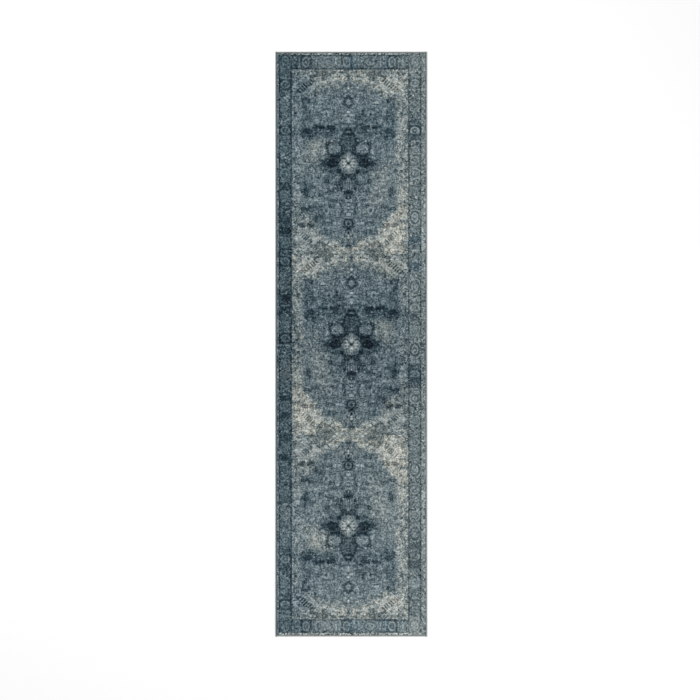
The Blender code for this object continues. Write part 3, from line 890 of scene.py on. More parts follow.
@dataclass(frozen=True)
class Box:
    """A CAD node's box, seen from above."""

    west: float
    east: float
    south: float
    north: float
    low: float
    high: float

    @classmethod
    def of(cls, node: str) -> "Box":
        """The box of the named CAD node."""
        low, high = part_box(node)
        return cls(low.x, high.x, low.y, high.y, low.z, high.z)

    def middle(self) -> tuple[float, float]:
        """Its centre, seen from above."""
        return (self.west + self.east) / 2, (self.south + self.north) / 2

    def holds(self, x: Grid, y: Grid, margin: float) -> Grid:
        """Tells which places, across and along the rug, lie inside it or within a margin round it."""
        beside = (x > self.west - margin) & (x < self.east + margin)
        return beside & (y > self.south - margin) & (y < self.north + margin)


@dataclass
class Loom:
    """The one grid of knots that every area of pile is cut from."""

    rim_drop: float = 0.0013
    rim_fall: float = 1.4
    shed: float = 0.00042
    wear: float = 0.00035
    unworn_tone: float = 140.0
    stray: float = 0.00045
    seam: float = 0.0002
    outline: float = 0.002
    outline_dark: float = 12.0
    inner_line: float = 0.010
    inner_line_light: float = 2.0
    speckle: float = 16.0
    warmth_speckle: float = 0.2
    medallion_outline: tuple[tuple[float, float], ...] = (
        (0, 1), (0.17, 0.86), (0.22, 0.67), (0.45, 0.66), (0.74, 0.58), (0.86, 0.42), (0.76, 0.27),
        (0.92, 0.20), (1, 0.07),
    )
    rosette_power: float = 1.25
    seed: int = 5
    boxes: dict[Area, Box] = field(init=False)
    xs: Grid = field(init=False)
    ys: Grid = field(init=False)
    area: Grid = field(init=False)
    tone: Grid = field(init=False)
    warmth: Grid = field(init=False)

    def __post_init__(self) -> None:
        """Sets the grid out over the pile's box and weaves it."""
        self.boxes = {area: Box.of(area.value) for area in AREAS}
        west, east = self.boxes[Area.GUARD_LEFT].west, self.boxes[Area.GUARD_RIGHT].east
        south, north = self.boxes[Area.GUARD_LEFT].south, self.boxes[Area.GUARD_LEFT].north
        self.xs = np.linspace(west, east, round((east - west) / KNOT) + 1)
        self.ys = np.linspace(south, north, round((north - south) / KNOT) + 1)
        self.area = self.lay_out()
        self.tone = np.zeros(self.area.shape)
        self.warmth = np.zeros(self.area.shape)
        self.weave()

    def knots(self) -> tuple[Grid, Grid]:
        """Knot centres across and along the rug."""
        return (self.xs[1:] + self.xs[:-1]) / 2, (self.ys[1:] + self.ys[:-1]) / 2

    def lay_out(self) -> Grid:
        """Gives each knot to the area whose place it stands in.

        Returns:
            For each knot, the number of its area in AREAS.
        """
        x, y = np.meshgrid(*self.knots())
        owner = np.full(x.shape, -1)
        for area in AREAS:
            box = self.boxes[area]
            if area in MEDALLIONS or area in ROSETTES:
                cx, cy = box.middle()
                u = np.abs(x - cx) / ((box.east - box.west) / 2)
                v = np.abs(y - cy) / ((box.north - box.south) / 2)
                if area in ROSETTES:
                    mine = u**self.rosette_power + v**self.rosette_power < 1
                else:
                    mine = inside([(0, 0), *self.medallion_outline, (1.0, 0.0)], u, v)
            else:
                mine = box.holds(x, y, self.seam) & (owner < 0)
            owner[mine] = AREAS.index(area)
        return owner

    def weave(self) -> None:
        """Gives every knot its tone and warmth."""
        x, y = self.knots()
        panel = FieldPanel()
        for place, (flip_x, flip_y) in enumerate(PANEL_FLIPS):
            cx, cy = self.boxes[MEDALLIONS[place]].middle()
            tone, warmth = panel.weave((x - cx) * flip_x / MM, (y - cy) * flip_y / MM)
            mine = np.isin(self.area, [AREAS.index(a[place]) for a in (FIELDS, MEDALLIONS, ROSETTES)])
            self.tone[mine], self.warmth[mine] = tone[mine], warmth[mine]
        self.age(x / MM, y / MM)
        for area, drawing, inward in (
            (Area.BORDER_LEFT, LEFT_BORDER, 1), (Area.BORDER_RIGHT, RIGHT_BORDER, -1),
            (Area.GUARD_LEFT, LEFT_GUARD, 1), (Area.GUARD_RIGHT, RIGHT_GUARD, -1),
            (Area.BORDER_HEAD, HEAD_BORDER, -1), (Area.BORDER_FOOT, FOOT_BORDER, 1),
            (Area.GUARD_HEAD, HEAD_GUARD, -1), (Area.GUARD_FOOT, FOOT_GUARD, 1),
        ):
            self.weave_side(area, drawing, inward)
        self.finish_edges()

    def age(self, across: Grid, along: Grid) -> None:
        """Lays the wear and fading that belong to the rug as a whole over the field.

        Args:
            across: places of the knots across the rug, in millimetres.
            along: places along it.
        """
        wear, tint = Drawing(across, along), Drawing(across, along)
        wear.wash(FIELD_AGE)
        tint.wash(FIELD_TINTS)
        self.tone += wear.tone
        self.warmth += tint.tone

    def weave_side(self, area: Area, drawing: Border | Guard, inward: int) -> None:
        """Weaves one side's border or guard stripe.

        Args:
            area: which area it is.
            drawing: its drawing.
            inward: 1 where the field lies toward higher numbers, or -1.
        """
        rows, columns = np.nonzero(self.area == AREAS.index(area))
        rows, columns = np.unique(rows), np.unique(columns)
        x, y = self.knots()
        (cx, cy), part = self.boxes[area].middle(), np.ix_(rows, columns)
        if len(rows) > len(columns):
            tone, warmth = drawing.weave((x[columns] - cx) * inward / MM, y[rows] / MM)
        else:
            tone, warmth = (a.T for a in drawing.weave((y[rows] - cy) * inward / MM, x[columns] / MM))
        mine = self.area[part] == AREAS.index(area)
        self.tone[part] = np.where(mine, tone, self.tone[part])
        self.warmth[part] = np.where(mine, warmth, self.warmth[part])

    def finish_edges(self) -> None:
        """Draws the dark and the light line round the field, and speckles the whole rug with stray knots."""
        x, y = self.knots()
        box = self.boxes[Area.FIELD_HEAD]
        south = self.boxes[Area.FIELD_FOOT].south
        inset = np.minimum(
            np.minimum(x - box.west, box.east - x)[None, :], np.minimum(y - south, box.north - y)[:, None]
        )
        rng = np.random.default_rng(self.seed)
        self.tone[(inset > self.outline) & (inset < self.inner_line)] += self.inner_line_light
        self.tone[(inset > 0) & (inset <= self.outline)] -= self.outline_dark
        self.tone += rng.normal(0, self.speckle, self.tone.shape)
        self.warmth += rng.normal(0, self.warmth_speckle, self.warmth.shape)

    def relief(self) -> tuple[Grid, Grid, Grid]:
        """Where each corner between knots stands.

        Returns:
            Its x, y and z, one row for each line of corners. Tufts stray a little from their places, dark
            yarn is worn lower than light, and the pile rolls over at the rug's edges.
        """
        rng = np.random.default_rng(self.seed + 1)
        x, y = (a.copy() for a in np.meshgrid(self.xs, self.ys))
        inner = np.s_[1:-1, 1:-1]
        for line in (x, y):
            line[inner] += rng.uniform(-self.stray, self.stray, line[inner].shape)
        dark = np.pad(np.clip(1 - self.tone / self.unworn_tone, 0, 1), ((0, 1), (0, 1)), "edge")
        top = self.boxes[Area.FIELD_CENTRE].high
        z = top - self.shed * rng.random(x.shape) ** 1.5 - self.wear * dark
        rows, columns = (np.arange(n) for n in x.shape)
        from_edge = np.minimum(
            np.minimum(rows, rows[::-1])[:, None], np.minimum(columns, columns[::-1])[None, :]
        )
        z -= self.rim_drop * np.exp(-self.rim_fall * from_edge)
        return x, y, z


# ---------------------------------------------------------------------------------------------------------
# Meshes.
# ---------------------------------------------------------------------------------------------------------


@dataclass
class Solid:
    """A closed mesh in the making: its corners, its faces, and what each face carries."""

    corners: list[tuple[float, float, float]] = field(default_factory=list)
    faces: list[Sequence[int]] = field(default_factory=list)

    def object(self, name: str, smooth: bool = True) -> bpy.types.Object:
        """Makes the object.

        Args:
            name: the piece's name.
            smooth: shades it smoothly.

        Returns:
            The object, linked to the scene.
        """
        mesh = bpy.data.meshes.new(name)
        mesh.from_pydata(self.corners, [], self.faces)
        mesh.update()
        mesh.polygons.foreach_set("use_smooth", [smooth] * len(mesh.polygons))
        made = bpy.data.objects.new(name, mesh)
        bpy.context.scene.collection.objects.link(made)
        return made


def face_values(mesh: bpy.types.Mesh, name: str, values: Grid) -> None:
    """Stores one number for each face."""
    mesh.attributes.new(name, "FLOAT", "FACE").data.foreach_set("value", np.asarray(values, np.float32))


def corner_map(mesh: bpy.types.Mesh, places: Grid) -> None:
    """Stores the flat map that the finish is printed to, one place for each face corner."""
    mesh.uv_layers.new(name="OFBake").data.foreach_set("uv", np.asarray(places, np.float32).ravel())


@dataclass
class Pad:
    """A closed pad on a grid of cells: a shaped face, upright walls, and a plain face opposite it.

    In its flat map the shaped face fills all but a margin, in strips with gaps between them. The walls lie in
    a row below it, and the plain face in a column beside it.
    """

    mask: Grid
    x: Grid
    y: Grid
    z: Grid
    level: float
    strips: int = 1
    margin: float = 0.012
    gap: float = 0.004
    wall_row: tuple[float, float] = (0.003, 0.009)
    back_column: tuple[float, float] = (0.003, 0.006)

    def build(self, name: str, layers: dict[str, Grid], under: bool = False) -> bpy.types.Object:
        """Makes the pad.

        Args:
            name: the piece's name.
            layers: numbers for the faces, one grid each.
            under: the shaped face looks down, and the plain one up.

        Returns:
            The object.
        """
        mask = np.pad(self.mask, 1)
        held = mask[1:, 1:] | mask[:-1, 1:] | mask[1:, :-1] | mask[:-1, :-1]
        whole = mask[1:, 1:] & mask[:-1, 1:] & mask[1:, :-1] & mask[:-1, :-1]
        rim = held & ~whole
        face = np.full(held.shape, -1)
        face[held] = np.arange(held.sum())
        back = np.full(held.shape, -1)
        back[rim] = held.sum() + np.arange(rim.sum())
        corners = np.concatenate([
            np.stack([self.x[held], self.y[held], self.z[held]], 1),
            np.stack([self.x[rim], self.y[rim], np.full(rim.sum(), self.level)], 1),
        ])
        rows, columns = np.nonzero(self.mask)
        ring = ((0, 0), (0, 1), (1, 1), (1, 0))
        tops = np.stack([face[rows + up, columns + over] for up, over in ring], 1)
        walls, wall_cells = self.walls(mask, face, back)
        backs, back_cells = self.backs(back)
        faces = [*tops.tolist(), *walls, *backs]
        cells = np.concatenate([np.stack([rows, columns], 1), np.array(wall_cells), np.array(back_cells)])
        if under:
            faces = [one[::-1] for one in faces]
        piece = Solid(corners.tolist(), faces).object(name)
        for layer, values in layers.items():
            face_values(piece.data, layer, values[cells[:, 0], cells[:, 1]])
        piece.data.polygons.foreach_set("use_smooth", np.arange(len(faces)) < len(tops))
        corner_map(piece.data, self.flat_map(corners, faces, cells, len(tops), len(walls)))
        return piece

    @staticmethod
    def walls(mask: Grid, face: Grid, back: Grid) -> tuple[list[list[int]], list[tuple[int, int]]]:
        """The upright faces round the pad's outline.

        Args:
            mask: the cells, with an empty one all round.
            face: the numbers of the shaped face's corners.
            back: the numbers of the plain face's corners.

        Returns:
            The faces, and the cell that each belongs to.
        """
        faces, cells = [], []
        for rows, columns, row_step, column_step, flip in (
            (*np.nonzero(mask[1:, 1:-1] & ~mask[:-1, 1:-1]), 0, 1, False),
            (*np.nonzero(mask[:-1, 1:-1] & ~mask[1:, 1:-1]), 0, 1, True),
            (*np.nonzero(mask[1:-1, 1:] & ~mask[1:-1, :-1]), 1, 0, True),
            (*np.nonzero(mask[1:-1, :-1] & ~mask[1:-1, 1:]), 1, 0, False),
        ):
            for row, column in zip(rows.tolist(), columns.tolist()):
                a, b = (row, column), (row + row_step, column + column_step)
                if flip:
                    a, b = b, a
                faces.append([int(back[a]), int(back[b]), int(face[b]), int(face[a])])
                cells.append(
                    (row - (flip and not row_step), column - (not flip and bool(row_step)))
                )
        return faces, cells

    def backs(self, back: Grid) -> tuple[list[list[int]], list[tuple[int, int]]]:
        """The plain face, in one strip for each unbroken run of cells.

        Args:
            back: the numbers of the plain face's corners, or -1 where it needs none.

        Returns:
            The faces, and a cell that each belongs to.
        """
        faces, cells = [], []
        for row, line in enumerate(self.mask):
            ends = np.flatnonzero(np.diff(np.concatenate([[0], line.astype(int), [0]])))
            for start, stop in zip(ends[::2], ends[1::2]):
                far = [n for n in back[row + 1, start : stop + 1].tolist() if n >= 0]
                near = [n for n in back[row, start : stop + 1].tolist() if n >= 0]
                faces.append(far + near[::-1])
                cells.append((row, int(start)))
        return faces, cells

    def flat_map(self, corners: Grid, faces: list, cells: Grid, tops: int, walls: int) -> Grid:
        """Lays the pad out flat: the shaped face over nearly the whole square, cut into strips side by side.

        Args:
            corners: where the corners stand.
            faces: the faces.
            cells: the cell that each face belongs to.
            tops: how many faces the shaped face has.
            walls: how many walls follow it.

        Returns:
            A place in the square for each corner of each face.
        """
        inner = 1 - 2 * self.margin
        size = np.ptp(corners[:, :2], axis=0)
        low = corners[:, :2].min(0)
        long = int(size[1] > size[0])
        count = [len(one) for one in faces]
        loops = np.concatenate([np.array(one) for one in faces])
        owner = np.repeat(np.arange(len(faces)), count)
        place = (corners[loops, :2] - low) / size
        along_cells = cells[:, 1 - long]
        first, last = along_cells.min(), along_cells.max() + 1
        strip = np.minimum((along_cells - first) * self.strips // (last - first), self.strips - 1)
        run = place[:, long] * self.strips - strip[owner]
        across = (strip[owner] + self.gap + (1 - 2 * self.gap) * place[:, 1 - long]) / self.strips
        flat = self.margin + inner * np.stack([across, np.clip(run, 0, 1)], 1)
        step = np.arange(len(loops)) - np.repeat(np.cumsum([0, *count[:-1]]), count)
        is_wall = (owner >= tops) & (owner < tops + walls)
        where = (owner[is_wall] - tops) / max(walls, 1)
        where = where + 0.5 / max(walls, 1) * np.isin(step[is_wall], (1, 2))
        foot, head = self.wall_row
        flat[is_wall, 0] = self.margin + inner * where
        flat[is_wall, 1] = np.where(step[is_wall] >= 2, head, foot)
        is_back = owner >= tops + walls
        side, width = self.back_column
        flat[is_back, 0] = side + width * place[is_back, 0]
        flat[is_back, 1] = self.margin + inner * place[is_back, 1]
        return flat


# ---------------------------------------------------------------------------------------------------------
# Finishes.
# ---------------------------------------------------------------------------------------------------------


def linear(red: float, green: float, blue: float) -> tuple[float, float, float, float]:
    """A colour given in everyday steps of 255, as the renderer wants it."""
    shares = (red / WHITE, green / WHITE, blue / WHITE)
    return (*(c / 12.92 if c <= 0.04045 else ((c + 0.055) / 1.055) ** 2.4 for c in shares), 1.0)


def add_node(
    tree: bpy.types.NodeTree, kind: str, settings: dict | None = None, sockets: dict | None = None
) -> bpy.types.Node:
    """Adds one node to a tree.

    Args:
        tree: the tree.
        kind: the node's type.
        settings: its options, set first. "stops" gives a ramp's places and colours.
        sockets: a value or a link for each input, by name or number.

    Returns:
        The node.
    """
    node = tree.nodes.new(kind)
    for option, value in (settings or {}).items():
        if option == "stops":
            ramp = node.color_ramp
            while len(ramp.elements) < len(value):
                ramp.elements.new(1.0)
            for element, (place, colour) in zip(ramp.elements, value):
                element.position, element.color = place, colour
        else:
            setattr(node, option, value)
    for key, value in (sockets or {}).items():
        source = value.socket if isinstance(value, Tap) else value
        if isinstance(source, bpy.types.NodeSocket):
            tree.links.new(source, node.inputs[key])
        else:
            node.inputs[key].default_value = source
    return node


@dataclass(frozen=True)
class Tap:
    """A number that flows from a socket, to be used in plain sums."""

    bench: "Bench"
    socket: bpy.types.NodeSocket

    def combine(self, operation: str, first: "Tap | float", second: "Tap | float") -> "Tap":
        """Adds the Math node for one operation on two numbers."""
        return self.bench.tap("ShaderNodeMath", {"operation": operation}, {0: first, 1: second})

    def __add__(self, other: "Tap | float") -> "Tap":
        """This number plus another."""
        return self.combine("ADD", self, other)

    def __sub__(self, other: "Tap | float") -> "Tap":
        """This number less another."""
        return self.combine("SUBTRACT", self, other)

    def __rsub__(self, other: float) -> "Tap":
        """Another number less this one."""
        return self.combine("SUBTRACT", other, self)

    def __mul__(self, other: "Tap | float") -> "Tap":
        """This number times another."""
        return self.combine("MULTIPLY", self, other)

    def __truediv__(self, other: "Tap | float") -> "Tap":
        """This number over another."""
        return self.combine("DIVIDE", self, other)

    def sine(self) -> "Tap":
        """The sine of this number, in radians."""
        return self.combine("SINE", self, 0.0)

    __radd__ = __add__
    __rmul__ = __mul__


@dataclass
class Bench:
    """The node tree of one finish."""

    name: str
    material: bpy.types.Material = field(init=False)

    def __post_init__(self) -> None:
        """Makes an empty tree."""
        self.material = bpy.data.materials.new(self.name)
        self.material.use_nodes = True
        self.material.node_tree.nodes.clear()

    def node(self, kind: str, settings: dict | None = None, sockets: dict | None = None) -> bpy.types.Node:
        """Adds one node, with its options and the values or links of its inputs."""
        return add_node(self.material.node_tree, kind, settings, sockets)

    def tap(
        self, kind: str, settings: dict | None = None, sockets: dict | None = None, output: int | str = 0
    ) -> Tap:
        """Adds one node and takes one of its outputs, by name or number."""
        return Tap(self, self.node(kind, settings, sockets).outputs[output])

    def attribute(self, name: str) -> Tap:
        """A number that the mesh carries."""
        return self.tap("ShaderNodeAttribute", {"attribute_name": name}, output="Fac")

    def place(self) -> bpy.types.NodeSocket:
        """Where a point stands, in metres."""
        return self.node("ShaderNodeTexCoord").outputs["Object"]

    def noise(self, scale: float, detail: float = 2.0, roughness: float = 0.5) -> Tap:
        """Cloudy noise with that many waves to the metre."""
        sockets = {"Vector": self.place(), "Scale": scale, "Detail": detail, "Roughness": roughness}
        return self.tap("ShaderNodeTexNoise", {}, sockets)

    def axes(self) -> tuple[Tap, Tap, Tap]:
        """Where a point stands along each axis, in metres."""
        split = self.node("ShaderNodeSeparateXYZ", {}, {0: self.place()})
        return tuple(Tap(self, output) for output in split.outputs)

    def shade(self, colour: bpy.types.NodeSocket, light: Tap) -> bpy.types.NodeSocket:
        """Makes a colour that many times as light. The finishes use it for painted shade, and some also for
        tone that varies at random.
        """
        grey = self.node("ShaderNodeCombineXYZ", {}, {0: light, 1: light, 2: light}).outputs[0]
        return self.node("ShaderNodeVectorMath", {"operation": "MULTIPLY"}, {0: colour, 1: grey}).outputs[0]

    def mix(
        self, amount: Tap, first: bpy.types.NodeSocket | tuple, second: bpy.types.NodeSocket | tuple
    ) -> bpy.types.NodeSocket:
        """Mixes two colours: an amount of 0 gives the first, and 1 the second."""
        node = self.node("ShaderNodeMix", {"data_type": "RGBA"}, {0: amount, 6: first, 7: second})
        return node.outputs[2]

    def bump(self, height: Tap, distance: float, strength: float) -> bpy.types.NodeSocket:
        """Turns a height from 0 to 1 into a normal, that many metres high."""
        sockets = {"Height": height, "Distance": distance, "Strength": strength}
        return self.node("ShaderNodeBump", {}, sockets).outputs[0]

    def surface(self, **sockets: object) -> bpy.types.Material:
        """Closes the tree with a surface.

        Args:
            sockets: a value or a link for each of its inputs, by name, with _ for a space.

        Returns:
            The finished material.
        """
        named = {key.replace("_", " "): value for key, value in sockets.items()}
        shader = self.node("ShaderNodeBsdfPrincipled", {}, named)
        self.node("ShaderNodeOutputMaterial", {}, {0: shader.outputs[0]})
        return self.material


@dataclass(frozen=True)
class PileYarn:
    """Cut pile. Its tone comes from the drawing, and its fibres and tufts from here, with painted shade
    darkening the gaps between the tufts.
    """

    name: str
    light: float = 0.88
    tuft: float = 420.0
    cool: tuple[float, float] = (36.0, 0.08)
    warm: tuple[float, float] = (14.0, 0.115)
    steps: int = 13
    fibre: float = 2100.0
    fibre_depth: float = 0.12
    pile_depth: float = 0.0009

    def dyed(self, tone: float, dye: tuple[float, float]) -> tuple[float, float, float, float]:
        """The dye at one tone.

        Args:
            tone: how light it is, in steps of 255.
            dye: how far its blue stands above its red, and how fast that falls as it gets lighter.

        Returns:
            The colour, as the renderer wants it.
        """
        blue = dye[0] - dye[1] * tone
        red = tone - 0.43 * blue - 3.6
        shades = (max(2.0, min(252.0, shade)) for shade in (red, red + blue / 2 + 5, red + blue))
        return linear(*shades)

    def ramp(self, dye: tuple[float, float]) -> list[tuple[float, tuple[float, float, float, float]]]:
        """The dye from black to white, as a ramp's places and colours."""
        places = (n / (self.steps - 1) for n in range(self.steps))
        return [(place, self.dyed(WHITE * place, dye)) for place in places]

    def material(self) -> bpy.types.Material:
        """Builds the finish.

        Returns:
            The material.
        """
        bench = Bench(self.name)
        sockets = {"Vector": bench.place(), "Scale": self.tuft, "Randomness": 0.7}
        spots = bench.tap("ShaderNodeTexVoronoi", {}, sockets, "Distance")
        fibre = bench.noise(self.fibre, 3.0, 0.7)
        tone = bench.attribute("tone") / WHITE + (fibre - 0.5) * self.fibre_depth
        cool, warm = (
            bench.node("ShaderNodeValToRGB", {"stops": self.ramp(dye)}, {0: tone})
            for dye in (self.cool, self.warm)
        )
        blend = bench.mix(bench.attribute("warmth") * 0.8 + 0.15, cool.outputs[0], warm.outputs[0])
        # Painted shade: each tuft's crown is painted lighter and the gap round it darker in Base Color. The
        # same crowns also give the real bump.
        crown = 1.0 - spots * spots
        return bench.surface(
            Base_Color=bench.shade(blend, (0.7 + 0.37 * crown) * self.light),
            Roughness=0.93,
            Specular_IOR_Level=0.18,
            Sheen_Weight=0.12,
            Sheen_Roughness=0.45,
            Normal=bench.bump(crown * 0.75 + fibre * 0.25, self.pile_depth, 0.7),
        )


@dataclass(frozen=True)
class WoundYarn:
    """Plied yarn wound over an edge, with painted shade in the grooves between its plies. Its wraps carry how
    far along and across the strand a point is.
    """

    name: str
    colour: Rgb
    second: Rgb
    plies: float = 9.0
    fibre: float = 2600.0
    patch: float = 26.0
    ply_depth: float = 0.00035

    def material(self) -> bpy.types.Material:
        """Builds the finish.

        Returns:
            The material.
        """
        bench = Bench(self.name)
        turns = bench.attribute("along") * (self.plies * 2 * math.pi)
        ply = (turns + bench.attribute("across") * (2 * math.pi)).sine() * 0.5 + 0.5
        fibre = bench.noise(self.fibre, 3.0, 0.7)
        patches = bench.noise(self.patch, 3.0, 0.6)
        shade = bench.mix(patches, linear(*self.colour), linear(*self.second))
        # Painted shade: the ply crowns are painted lighter and the grooves between them darker. Fibre and
        # strand add tone that varies at random.
        light = 0.66 + 0.18 * ply + 0.14 * fibre + 0.2 * bench.attribute("strand")
        return bench.surface(
            Base_Color=bench.shade(shade, light),
            Roughness=0.88,
            Specular_IOR_Level=0.2,
            Sheen_Weight=0.1,
            Normal=bench.bump(ply * 0.8 + fibre * 0.2, self.ply_depth, 0.6),
        )


@dataclass(frozen=True)
class PlainWeave:
    """Warp and weft crossing over and under, or the scrim that shows through a coating, with painted shade
    between the threads.
    """

    name: str
    colour: Rgb
    second: Rgb
    warp: float
    weft: float
    height: float
    rough: float = 0.9
    fibre: float = 1500.0
    patch: float = 9.0

    def material(self) -> bpy.types.Material:
        """Builds the finish.

        Returns:
            The material.
        """
        bench = Bench(self.name)
        x, y, _ = bench.axes()
        over = (x * (math.pi / self.warp)).sine() * (y * (math.pi / self.weft)).sine()
        cross = over * over
        fibre = bench.noise(self.fibre, 3.0, 0.65)
        stain = bench.noise(self.patch, 4.0, 0.6)
        amount = stain * 0.6 + cross * 0.3 + fibre * 0.1
        colour = bench.mix(amount, linear(*self.colour), linear(*self.second))
        # Painted shade: the thread crossings are painted lighter and the hollows between the threads darker.
        # The same crossings also give the real bump.
        return bench.surface(
            Base_Color=bench.shade(colour, 0.84 + 0.16 * cross),
            Roughness=self.rough,
            Specular_IOR_Level=0.25,
            Normal=bench.bump(cross * 0.8 + fibre * 0.2, self.height, 0.7),
        )


@dataclass(frozen=True)
class FloorPaint:
    """A plain pale floor."""

    colour: Rgb
    second: Rgb = (250, 250, 250)

    def material(self) -> bpy.types.Material:
        """Builds the finish.

        Returns:
            The material.
        """
        bench = Bench("floor_paint")
        patches = bench.noise(0.6, 2.0)
        colour = bench.mix(patches * 0.1, linear(*self.colour), linear(*self.second))
        return bench.surface(Base_Color=colour, Roughness=0.8, Specular_IOR_Level=0.1)


# ---------------------------------------------------------------------------------------------------------
# The rug's parts.
# ---------------------------------------------------------------------------------------------------------


def keep(piece: bpy.types.Object, material: bpy.types.Material, slot: str, *nodes: str) -> bpy.types.Object:
    """Dresses a finished piece, hangs it on the body it rides on, and hides the CAD nodes that it stands for.

    Args:
        piece: the piece.
        material: its finish.
        slot: not used.
        nodes: the CAD nodes that it stands for.

    Returns:
        The piece.
    """
    piece.data.materials.clear()
    piece.data.materials.append(material)
    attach(piece, BODY)
    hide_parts(*nodes)
    return piece


@dataclass
class Pile:
    """The cut pile, one piece for each area of the design."""

    loom: Loom
    level: float = field(init=False)
    side_strips: ClassVar[dict[str, int]] = {"guard": 16, "border": 6}
    end_strips: ClassVar[dict[str, int]] = {"guard": 8, "border": 3}
    long_run: ClassVar[int] = 600

    def __post_init__(self) -> None:
        """Takes the level of the tufts' feet from the CAD."""
        self.level = self.loom.boxes[Area.FIELD_CENTRE].low

    def strips(self, kind: str, rows: int, columns: int) -> int:
        """How many strips an area's flat map is cut into, so that it fills its square."""
        along_side = rows > 2 * columns and rows > self.long_run
        return (self.side_strips if along_side else self.end_strips).get(kind, 1)

    def build(self) -> list[bpy.types.Object]:
        """Makes every area's piece.

        Returns:
            The pieces.
        """
        x, y, z = self.loom.relief()
        layers = {"tone": self.loom.tone, "warmth": self.loom.warmth}
        kinds = ("guard", "border", "field", "medallion", "rosette")
        yarns = {kind: PileYarn(f"{kind}_yarn").material() for kind in kinds}
        pieces = []
        for number, area in enumerate(AREAS):
            kind = area.value.split("_")[0]
            mask = self.loom.area == number
            rows, columns = np.flatnonzero(mask.any(1)), np.flatnonzero(mask.any(0))
            cells = np.s_[rows[0] : rows[-1] + 1, columns[0] : columns[-1] + 1]
            posts = np.s_[rows[0] : rows[-1] + 2, columns[0] : columns[-1] + 2]
            strips = self.strips(kind, len(rows), len(columns))
            pad = Pad(mask[cells], x[posts], y[posts], z[posts], self.level, strips)
            piece = pad.build(f"{area.value}_cut", {name: layer[cells] for name, layer in layers.items()})
            pieces.append(keep(piece, yarns[kind], f"{kind}_yarn", area.value))
        return pieces


@dataclass
class Cloth:
    """The ground weave that the tufts are tied to, the coating under it, and the blank label in that."""

    rib: float = 0.005
    rib_depth: float = 0.0003
    warp_step: float = 0.016
    coat_step: float = 0.012
    coat_ripple: float = 0.00006
    label_step: float = 0.00125
    label_ripple: float = 0.00005
    step_width: float = 0.00004
    step_clearance: float = 0.001
    seed: int = 31
    weave_finish: PlainWeave = PlainWeave(
        "ground_weave_yarn", (176, 170, 154), (142, 138, 124), warp=0.0025, weft=0.0025, height=0.0005
    )
    coat_finish: PlainWeave = PlainWeave(
        "latex_coating", (196, 190, 172), (170, 164, 148), warp=0.0042, weft=0.0036, height=0.0003, rough=0.62
    )
    label_finish: PlainWeave = PlainWeave(
        "label_ribbon", (232, 230, 222), (214, 211, 202), warp=0.0005, weft=0.0004, height=0.00008, rough=0.5
    )

    def ground(self) -> bpy.types.Object:
        """Makes the ground weave, ribbed along its wefts.

        Returns:
            The piece.
        """
        box = Box.of("ground_weave")
        xs = np.linspace(box.west, box.east, round((box.east - box.west) / self.warp_step) + 1)
        count = 2 * round((box.north - box.south) / self.rib)
        ys = np.linspace(box.south, box.north, count + 1)
        x, y = np.meshgrid(xs, ys)
        weft = np.arange(count + 1)[:, None]
        z = box.high - self.rib_depth * (weft % 2) * np.ones(x.shape)
        piece = Pad(np.ones((count, len(xs) - 1), bool), x, y, z, box.low).build("ground_weave_cloth", {})
        return keep(piece, self.weave_finish.material(), "ground_yarn", "ground_weave")

    def coat(self) -> bpy.types.Object:
        """Makes the coating, with the shallow place that the label is pressed into.

        Returns:
            The piece.
        """
        box, label = Box.of("latex_backing"), Box.of("care_label")
        lines = []
        for low, high, start, stop in (
            (box.west, box.east, label.west, label.east),
            (box.south, box.north, label.south, label.north),
        ):
            plain = np.linspace(low, high, round((high - low) / self.coat_step) + 1)
            steps = ((start, -2), (start, -1), (stop, 1), (stop, 2))
            edges = [place + n * self.step_width for place, n in steps]
            clear = [v for v in plain if min(abs(v - edge) for edge in edges) > self.step_clearance]
            lines.append(np.array(sorted([*clear, *edges])))
        x, y = np.meshgrid(*lines)
        rng = np.random.default_rng(self.seed)
        z = box.low + self.coat_ripple * rng.random(x.shape)
        z[label.holds(x, y, self.step_width * 1.5)] = label.high
        mask = np.ones((len(lines[1]) - 1, len(lines[0]) - 1), bool)
        piece = Pad(mask, x, y, z, box.high).build("latex_backing_coat", {}, under=True)
        return keep(piece, self.coat_finish.material(), "latex", "latex_backing")

    def label(self) -> bpy.types.Object:
        """Makes the blank label, with clipped corners and a faintly uneven face.

        Returns:
            The piece.
        """
        box = Box.of("care_label")
        columns, rows = (round(d / self.label_step) for d in (box.east - box.west, box.north - box.south))
        xs, ys = np.linspace(box.west, box.east, columns + 1), np.linspace(box.south, box.north, rows + 1)
        x, y = np.meshgrid(xs, ys)
        rng = np.random.default_rng(self.seed + 1)
        z = box.low + self.label_ripple * rng.random(x.shape)
        mask = np.ones((rows, columns), bool)
        mask[np.ix_((0, -1), (0, -1))] = False
        piece = Pad(mask, x, y, z, box.high).build("care_label_ribbon", {}, under=True)
        return keep(piece, self.label_finish.material(), "label_cloth", "care_label")


